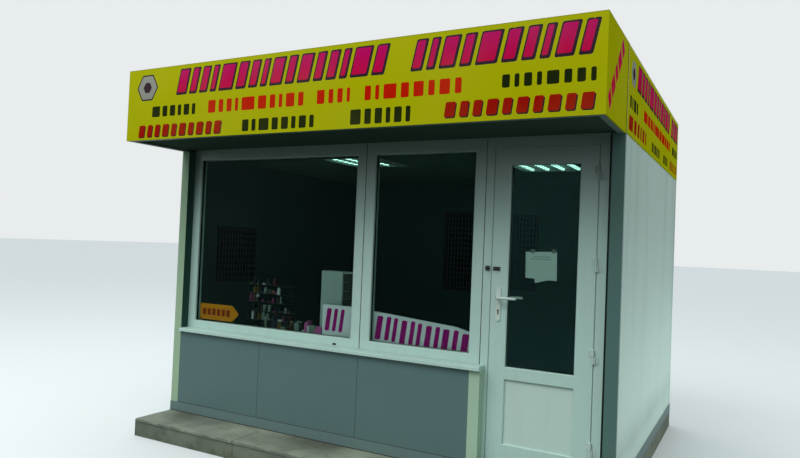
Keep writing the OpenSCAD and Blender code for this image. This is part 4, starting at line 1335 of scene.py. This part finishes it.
def lamp_boxes():
    """The two lamps' boxes, from the loose halves of their mesh."""
    middle = sum(corner[0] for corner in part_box("ceiling_lamps")) / 2
    for half in (-1, 1):
        points = [vert.co for vert in nodes["ceiling_lamps"].data.vertices if (vert.co.x - middle) * half > 0]
        yield [(min(p[i] for p in points), max(p[i] for p in points)) for i in range(3)]


print("lamps:", len(list(lamp_boxes())))

# %% [markdown]
# Tray and blades are blocks, tubes and caps are rods. The tube at the right end of the left lamp is out,
# so it goes into a mesh of its own, with plain white glass.

# %% Lamps with tubes
TUBES, BLADES = 4, 6
TUBE_R, TUBE_Z, TUBE_SIDES, CAP_L = 0.0135, 0.018, 20, 0.018
TRAY_T, BLADE_H, BLADE_HALF = 0.004, 0.006, 0.001

glow, caps, dark_tube, tray, blades = (bmesh.new() for _ in range(5))
for lamp, ((x0, x1), (y0, y1), (z0, z1)) in enumerate(lamp_boxes()):
    left, right, near, far, lid = x0 + TRAY_T, x1 - TRAY_T, y0 + TRAY_T, y1 - TRAY_T, z1 - TRAY_T
    block(tray, (x0, y0, lid), (x1, y1, z1))
    for wall in ((x0, y0, x1, near), (x0, far, x1, y1), (x0, near, left, far), (right, near, x1, far)):
        block(tray, (*wall[:2], z0), (*wall[2:], lid))
    pitch = (x1 - x0 - 2 * TRAY_T) / TUBES
    for index in range(BLADES):
        y = y0 + (index + 1) * (y1 - y0) / (BLADES + 1)
        block(blades, (left, y - BLADE_HALF, z0), (right, y + BLADE_HALF, z0 + BLADE_H))
    for index in range(TUBES):
        x, z = (x0 + x1) / 2 + (index - (TUBES - 1) / 2) * pitch, z0 + TUBE_Z
        if index:
            side = x - pitch / 2
            block(blades, (side - BLADE_HALF, near, z0), (side + BLADE_HALF, far, lid))
        ends = (near + 0.001, far - 0.001)
        tube = dark_tube if lamp == 0 and index == TUBES - 1 else glow
        rod(tube, (x, ends[0] + CAP_L, z), (x, ends[1] - CAP_L, z), TUBE_R, TUBE_SIDES)
        for end, way in zip(ends, (1, -1)):
            rod(caps, (x, end, z), (x, end + way * CAP_L, z), TUBE_R + 0.0004, TUBE_SIDES)
# Tray and blades are grey, darker than white enamel, as painted shade between the tubes.
ENAMEL = plain_finish("grey_lamp_enamel", (92, 112, 106), 0.4)
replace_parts(finished("lamp_trays", tray, "kiosk", ENAMEL, "lamp_white"), "ceiling_lamps")
for name, bm, finish in (
    ("lamp_blades", blades, ENAMEL),
    ("lamp_tubes_lit", glow, lit_glass("lit_tube_glass")),
    ("lamp_tube_out", dark_tube, plain_finish("tube_glass_out", (176, 190, 184), 0.3)),
    ("lamp_tube_caps", caps, bare_metal("tube_cap_metal", (196, 200, 198), 0.3)),
):
    finished(name, bm, "kiosk", finish, "lamp_white")

# %% [markdown]
# ## Behind the glass
# A white card leans on the window frames. It is cut from thin board with a sloping top edge, and carries
# plain magenta bars with rounded ends. All the stock behind the glass is matt, so its finishes share one
# low gloss.

# %% Card in the window
CARD_Y, CARD_T = -1.046, 0.003
LEDGE_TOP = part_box("window_ledge")[1][2]
CARD_TOP = ((-0.440, 1.244), (-0.100, 1.242), (0.080, 1.224), (0.787, 1.166), (0.925, 1.130))
CARD_BARS = (
    (-0.405, 0.11, 1.215), (-0.265, 0.045, 1.213), (0.085, 0.13, 1.192), (0.240, 0.045, 1.186),
    (0.310, 0.12, 1.174), (0.455, 0.045, 1.164), (0.525, 0.12, 1.152), (0.670, 0.13, 1.140),
    (0.83, 0.07, 1.12),
)
BAR_H, WIDE_BAR = 0.19, 0.1


def matt(name, chart, roughness=0.5, grain=60.0, **more):
    """A finish for stock behind the glass, with hardly any gloss."""
    return plain_finish(name, chart, roughness, grain=grain, Specular_IOR_Level=0.05, **more)


foot = [(CARD_TOP[end][0], LEDGE_TOP + 0.001) for end in (0, -1)]
outline = [*foot, *reversed(CARD_TOP)]
card = matt("white_card", (212, 214, 222), 0.6)
plates("window_card", "kiosk", card, "white_panel", [outline], CARD_T, at(y=CARD_Y + CARD_T))
bars = []
for x, width, top in CARD_BARS:
    parts = ((x, 0.42), (x + width * 0.68, 0.32)) if width > WIDE_BAR else ((x, 0.8),)
    bars += [tile(start, start + width * share, top - BAR_H, top, 0.12) for start, share in parts]
ink = matt("magenta_ink", (152, 12, 112))
plates("window_card_bars", "kiosk", ink, "yellow_board", bars, 0.0004, at(y=CARD_Y), 0.012)

# %% [markdown]
# An orange plate like an arrow sticks to the inside of the left window. A flat plate needs no more than
# its outline, so it is cut like film, with six short bars on it.

# %% Arrow plate on the glass
ARROW = ((-1.808, 1.004), (-1.415, 1.004), (-1.337, 1.077), (-1.415, 1.150), (-1.808, 1.150))
ARROW_Y, ARROW_T, ARROW_BARS, BAR_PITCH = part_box("window_glass_left")[1][1] + 0.0004, 0.003, 6, 0.058
orange, brown = matt("orange_plate", (202, 126, 0), 0.4), matt("brown_ink", (138, 40, 4))
plates("arrow_plate", "kiosk", orange, "yellow_board", [ARROW], ARROW_T, at(y=ARROW_Y + ARROW_T), 0.012)
bars = [tile(x, x + 0.042, 1.046, 1.107) for x in (-1.776 + BAR_PITCH * index for index in range(ARROW_BARS))]
plates("arrow_plate_bars", "kiosk", brown, "yellow_board", bars, 0.0003, at(y=ARROW_Y), 0.006)

# %% [markdown]
# A small grey drawer cabinet stands on the ledge. Its left part is a closed box, and its right part an
# open case with two columns of dark drawers, each with a round knob. Plain blocks with rounded edges are
# what it is.

# %% Cabinet on the ledge
CAB_LOW, CAB_HIGH, SPLIT = (-0.500, -1.000, LEDGE_TOP), (-0.060, -0.872, 1.522), -0.285
BOARD_T, ROWS = 0.014, 8
DRAWER_W, DRAWER_Y, SLIT = 0.10, CAB_LOW[1] + 0.012, 0.003
cabinet, drawers = bmesh.new(), bmesh.new()
block(cabinet, CAB_LOW, (SPLIT, *CAB_HIGH[1:]), 0.004, 2)
block(cabinet, (SPLIT, CAB_HIGH[1] - 0.02, CAB_LOW[2]), CAB_HIGH, 0.002)
for x, z0, z1 in (
    (SPLIT, CAB_HIGH[2] - BOARD_T, CAB_HIGH[2]), (SPLIT, CAB_LOW[2], CAB_LOW[2] + BOARD_T),
    (CAB_HIGH[0] - BOARD_T, CAB_LOW[2], CAB_HIGH[2]),
):
    block(cabinet, (x, CAB_LOW[1], z0), (CAB_HIGH[0], CAB_HIGH[1], z1), 0.002)
step = (CAB_HIGH[2] - CAB_LOW[2] - 2 * BOARD_T) / ROWS
for row in range(ROWS):
    z = CAB_LOW[2] + BOARD_T + row * step
    for x in (SPLIT + 0.002, SPLIT + 0.108):
        corner = (x + DRAWER_W, CAB_HIGH[1] - 0.022, z + step - SLIT)
        block(drawers, (x, DRAWER_Y, z + SLIT), corner, 0.003)
        knob = (x + DRAWER_W / 2, DRAWER_Y, z + step / 2)
        rod(drawers, knob, (knob[0], DRAWER_Y - 0.01, knob[2]), 0.006, 12)
enamel = matt("cabinet_enamel", (146, 162, 160), 0.45, 120.0)
finished("drawer_cabinet", cabinet, "kiosk", enamel, "frame_steel")
shade = matt("cabinet_shade", (40, 48, 46), 0.5, 120.0)
finished("cabinet_drawers", drawers, "kiosk", shade, "dark_steel")

# %% [markdown]
# A creased sheet of paper hangs on the door's glass, with a small strip stuck over its lower edge, two
# pieces of tape and two thin lines. All of it is cut flat and rides on the door, and a coarse grain in
# its bump stands for the creases, which are finer than a mesh should be.

# %% Notice on the door glass
DOOR_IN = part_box("door_glass")[1][1]
SHEET = ((1.322, 1.572), (1.548, 1.560), (1.543, 1.764), (1.318, 1.756))
SLIP = ((1.392, 1.538), (1.500, 1.566), (1.494, 1.600), (1.386, 1.590))
notice = bmesh.new()
cut(notice, SHEET, 0.0004, at(y=DOOR_IN + 0.0008))
cut(notice, SLIP, 0.0003, at(y=DOOR_IN + 0.0013), 0.004)
paper = matt("notice_paper", (204, 220, 216), 0.8, 14.0, depth=0.004, contrast=0.3)
finished("door_notice", notice, "door", paper, "white_panel")
lines = [tile(1.375 - 0.02 * row, 1.500, z, z + 0.005) for row, z in enumerate((1.722, 1.706))]
tape = [tile(x, x + 0.03, z - 0.016, z + 0.012) for x, z in ((1.355, 1.764), (1.505, 1.768))]
ink = matt("notice_ink", (130, 150, 146), 0.8, 40.0)
plates("door_notice_lines", "door", ink, "white_panel", lines, 0.0001, at(y=DOOR_IN + 0.0003))
plates("door_notice_tape", "door", FILM["grey"], "white_panel", tape, 0.0002, at(y=DOOR_IN + 0.0003))

# %% [markdown]
# The goods are small packs, tins and rolls. Three shapes and eight colours are enough: behind dark glass
# they read as a crowded ledge. Most colours are dull.

# %% Colours of the goods
GOODS = {
    colour: matt("goods_" + colour, chart, 0.4, 200.0) for colour, chart in {
        "white": (112, 132, 124), "magenta": (112, 52, 98), "blue": (34, 46, 62), "red": (70, 34, 38),
        "dark": (28, 32, 34), "ochre": (92, 74, 36), "pale": (182, 194, 196), "pink": (190, 88, 156),
    }.items()
}
COMMON = ("white", "dark", "pale", "white", "magenta", "blue", "red", "dark", "ochre", "dark")
print("colours of goods:", *GOODS)

# %% [markdown]
# A seeded draw sets them out, so that every run gives the same row. It picks each one's place, size,
# colour and shape, and all of one colour go into one mesh. Those near the card are more white and pink.

# %% Goods on the ledge
import random

draw = random.Random(11)
PACK_HALF, LID_H, TIN_SIDES = 0.012, 0.010, 18
heaps = {colour: bmesh.new() for colour in GOODS}


def set_out(x0, x1, y0, y1, height, count, foot=LEDGE_TOP, size=1.0, often=COMMON):
    """Places packs, tins and rolls in a row between x0 and x1."""
    pitch = (x1 - x0) / count
    for index in range(count):
        x = x0 + (index + draw.uniform(0.3, 0.7)) * pitch
        y = draw.uniform(y0, y1)
        wide, tall = draw.uniform(0.014, 0.026) * size, height * draw.uniform(0.5, 1.0)
        heap = heaps[draw.choice(often)]
        kind = draw.randrange(3)
        if kind == 0:
            block(heap, (x - wide, y - PACK_HALF, foot), (x + wide, y + PACK_HALF, foot + tall), 0.002)
        elif kind == 1:
            lid = (x, y, foot + tall)
            rod(heap, (x, y, foot), lid, wide * 0.7, TIN_SIDES)
            rod(heap, lid, (x, y, foot + tall + LID_H), wide * 0.5, TIN_SIDES, wide * 0.36)
        else:
            lift = foot + wide * 0.6
            rod(heap, (x - wide, y, lift), (x + wide, y, lift), wide * 0.6, TIN_SIDES)


set_out(-1.36, -0.80, -1.015, -1.005, 0.08, 14, size=1.3)
set_out(-0.92, -0.47, -1.015, -1.005, 0.18, 13, size=1.4, often=("pale", "pink", "white", "pink", "dark"))
set_out(-1.36, -0.52, -0.975, -0.960, 0.18, 18, size=1.2)
set_out(0.02, 0.90, -0.975, -0.935, 0.12, 12)
print("faces of the goods:", {colour: len(heap.faces) for colour, heap in heaps.items()})

# %% [markdown]
# A wire stand behind the left window holds more goods, one shelf above another and each shelf emptier
# than the one below. Its posts and shelves are thin rods and blocks.

# %% Stand with goods
STAND, STAND_ROWS, SHELF_T = (-1.36, -0.84), (0.13, 0.21, 0.29, 0.37, 0.45), 0.002
for row, height in enumerate(STAND_ROWS):
    ends = (STAND[0] + 0.05 * (row % 2), STAND[1] - 0.055 * row)
    set_out(*ends, -0.925, -0.905, 0.07, 16 - 2 * row, LEDGE_TOP + height, 0.85)
for colour, heap in heaps.items():
    finished("ledge_goods_" + colour, heap, "kiosk", GOODS[colour], "white_panel")

stand = bmesh.new()
posts = (STAND[0] - 0.02, STAND[1] + 0.02)
for height in STAND_ROWS:
    shelf = LEDGE_TOP + height
    block(stand, (posts[0], -0.94, shelf - SHELF_T), (posts[1], -0.89, shelf), 0.0005)
for x in posts:
    rod(stand, (x, -0.915, LEDGE_TOP), (x, -0.915, LEDGE_TOP + STAND_ROWS[-1] + 0.1), 0.003, 10)
finished("goods_stand", stand, "kiosk", GOODS["dark"], "dark_steel")

# %% [markdown]
# Dark boards hang on the walls with rows of small metal blanks on hooks. Through the glass they are no
# more than rows of dim dots, so one outline with eight corners serves for all of them, cut nearly four
# hundred times.

# %% Boards with blanks on the walls
BLANK = ((-0.003, -0.030), (0.003, -0.030), (0.003, -0.008), (0.010, 0.0), (0.006, 0.011), (-0.006, 0.011),
         (-0.010, 0.0), (-0.003, -0.008))
BLANK_PITCH, BLANK_RISE = 0.042, 0.06
LEFT_IN, BACK_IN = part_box("left_wall_front")[1][0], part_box("back_wall_first")[0][1]
ON_LEFT, ON_BACK = at(LEFT_IN, turn=math.pi / 2), at(y=BACK_IN)
boards, blanks = bmesh.new(), bmesh.new()
for place, x0, x1, z0, z1 in (
    (ON_LEFT, -0.78, -0.22, 1.33, 1.88),
    (ON_BACK, -0.61, -0.18, 1.25, 2.20),
    (ON_BACK, 0.24, 0.57, 1.30, 2.17),
):
    cut(boards, tile(x0, x1, z0, z1), 0.012, place, 0.004)
    across, up = round((x1 - x0) / BLANK_PITCH), round((z1 - z0) / BLANK_RISE)
    for column in range(across):
        for row in range(up):
            x = x0 + (column + 0.5) * (x1 - x0) / across
            z = z0 + 0.008 + (row + 0.5) * (z1 - z0) / up
            cut(blanks, [(x + dx, z + dz) for dx, dz in BLANK], 0.002, place @ at(y=-0.014))
finished("wall_boards", boards, "kiosk", matt("wall_board_black", (14, 14, 16), 0.6, 200.0), "dark_steel")
finished("wall_blanks", blanks, "kiosk", matt("blank_metal", (74, 58, 66), 0.35, 200.0), "lock_brass")

# %% [markdown]
# Inside, folded strips cover the joints between the wall panels, in the dark green that the room side is
# painted as shade.
# Without them the light outside would show through each joint as a bright line. A strip is a thin block
# with its edges broken, as wide as a thumb, on the middle of each joint.

# %% Strips over the joints inside
COVER_W, COVER_T, GAP_HALF = 0.024, 0.0012, 0.0015
RIGHT_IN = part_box("right_wall_middle")[0][0]
strip_foot, strip_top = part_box("floor_deck")[1][2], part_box("ceiling")[0][2]
strips = []
for panel, end, way, wall in (
    *(("back_wall_" + place, 1, 0, BACK_IN) for place in ("second", "third", "fourth")),
    *(("left_wall_" + place, 1, 1, LEFT_IN) for place in ("front", "middle")),
    *(("right_wall_" + place, 0, -1, RIGHT_IN) for place in ("middle", "rear")),
):
    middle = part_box(panel)[end][1 if way else 0] + (GAP_HALF if end else -GAP_HALF)
    along = (middle - COVER_W / 2, middle + COVER_W / 2)
    through = (wall, wall + way * COVER_T if way else wall - COVER_T)
    near, far = zip(through, along) if way else zip(along, through)
    strips.append(((*near, strip_foot), (*far, strip_top)))
# The strips' dark green is painted shade of the room.
green = coated_sheet("inner_strip_sheet", (44, 66, 61), 0.5, sheen=0.04)
blocks("inner_joint_strips", "kiosk", green, "white_panel", strips, 0.0004)

# %% [markdown]
# ## Stage and light
# The kiosk stands on a plain pale floor under an even sky, as on a dull day. To the camera, and in
# reflections, sky and floor are plain and pale. As a source of light the floor is darker in front than
# beside the kiosk, so little light comes up under the canopy and the shop front is darker at its top than
# at its sill.

# %% Stage
FLOOR_DARK, FLOOR_LIGHT, FLOOR_SHOWN = paint(66, 70, 68), paint(180, 186, 184), paint(198, 204, 204)
BESIDE, BEHIND, NEAR_FRONT = (2.2, 3.2), (-1.0, 0.5), (-3.0, -0.8)


def seen(tree):
    """1 for the camera, and for what shows in gloss and through glass."""
    rays = put(tree, "LightPath").outputs
    shown = sums(tree, "MAXIMUM", rays["Is Camera Ray"], rays["Is Glossy Ray"])
    return sums(tree, "MAXIMUM", shown, rays["Is Transmission Ray"])


def floor_paper(name):
    """Pale paper that throws back little light in front of the kiosk."""
    material, tree, shader = new_material(name, 0.9)
    point = axes(tree, where(tree))
    beside = spread(tree, sums(tree, "ABSOLUTE", point["X"]), *BESIDE)
    bright = sums(tree, "MAXIMUM", beside, spread(tree, point["Y"], *BEHIND))
    bright = product(tree, bright, spread(tree, point["Y"], *NEAR_FRONT))
    thrown = blend_colour(tree, bright, FLOOR_DARK, FLOOR_LIGHT)
    feed(tree, shader, Base_Color=blend_colour(tree, seen(tree), thrown, FLOOR_SHOWN))
    return material


sheet = bmesh.new()
bmesh.ops.create_grid(sheet, x_segments=1, y_segments=1, size=120.0)
floor = add("studio_floor", bpy.data.meshes.new("studio_floor"))
sheet.to_mesh(floor.data)
sheet.free()
floor.data.materials.append(floor_paper("studio_floor_paper"))
print("floor laid:", floor.name)

# %% [markdown]
# A soft dome gives most of the light, more of it from above than from the side, and a wide lamp in front
# gives it a direction. The Light Path node gives the camera, gloss and glass a plain pale background
# instead of the dome.

# %% Light
DOME_LOW, DOME_HIGH, DOME_COLOUR = 0.1, 1.75, (0.93, 0.97, 1.0, 1.0)
LAMP_PLACE, LAMP_AIM, LAMP_SIZE, LAMP_WATTS = Vector((-2.0, -6.5, 11.0)), Vector((0.0, 0.0, 1.4)), 8.0, 950.0

scene.world = bpy.data.worlds.new("studio_sky")
scene.world.use_nodes = True
sky = scene.world.node_tree
sky.nodes.clear()
upwards = axes(sky, put(sky, "TexCoord").outputs["Generated"])["Z"]
dome = spread(sky, upwards, 0.0, 1.0, DOME_LOW, DOME_HIGH)
lit = put(sky, "Background", {"Color": DOME_COLOUR, "Strength": dome}).outputs[0]
shown = put(sky, "Background", {"Color": paint(232, 236, 237), "Strength": 1.0}).outputs[0]
both = put(sky, "MixShader", {0: seen(sky), 1: lit, 2: shown}).outputs[0]
put(sky, "OutputWorld", {"Surface": both})

lamp = add("front_lamp", bpy.data.lights.new("front_lamp", "AREA"))
lamp.data.shape, lamp.data.size, lamp.data.energy = "SQUARE", LAMP_SIZE, LAMP_WATTS
lamp.location = LAMP_PLACE
lamp.rotation_euler = (LAMP_AIM - LAMP_PLACE).to_track_quat("-Z", "Y").to_euler()
scene.view_settings.view_transform = "Standard"
print("lamp", round((LAMP_PLACE - LAMP_AIM).length, 1), "m away")
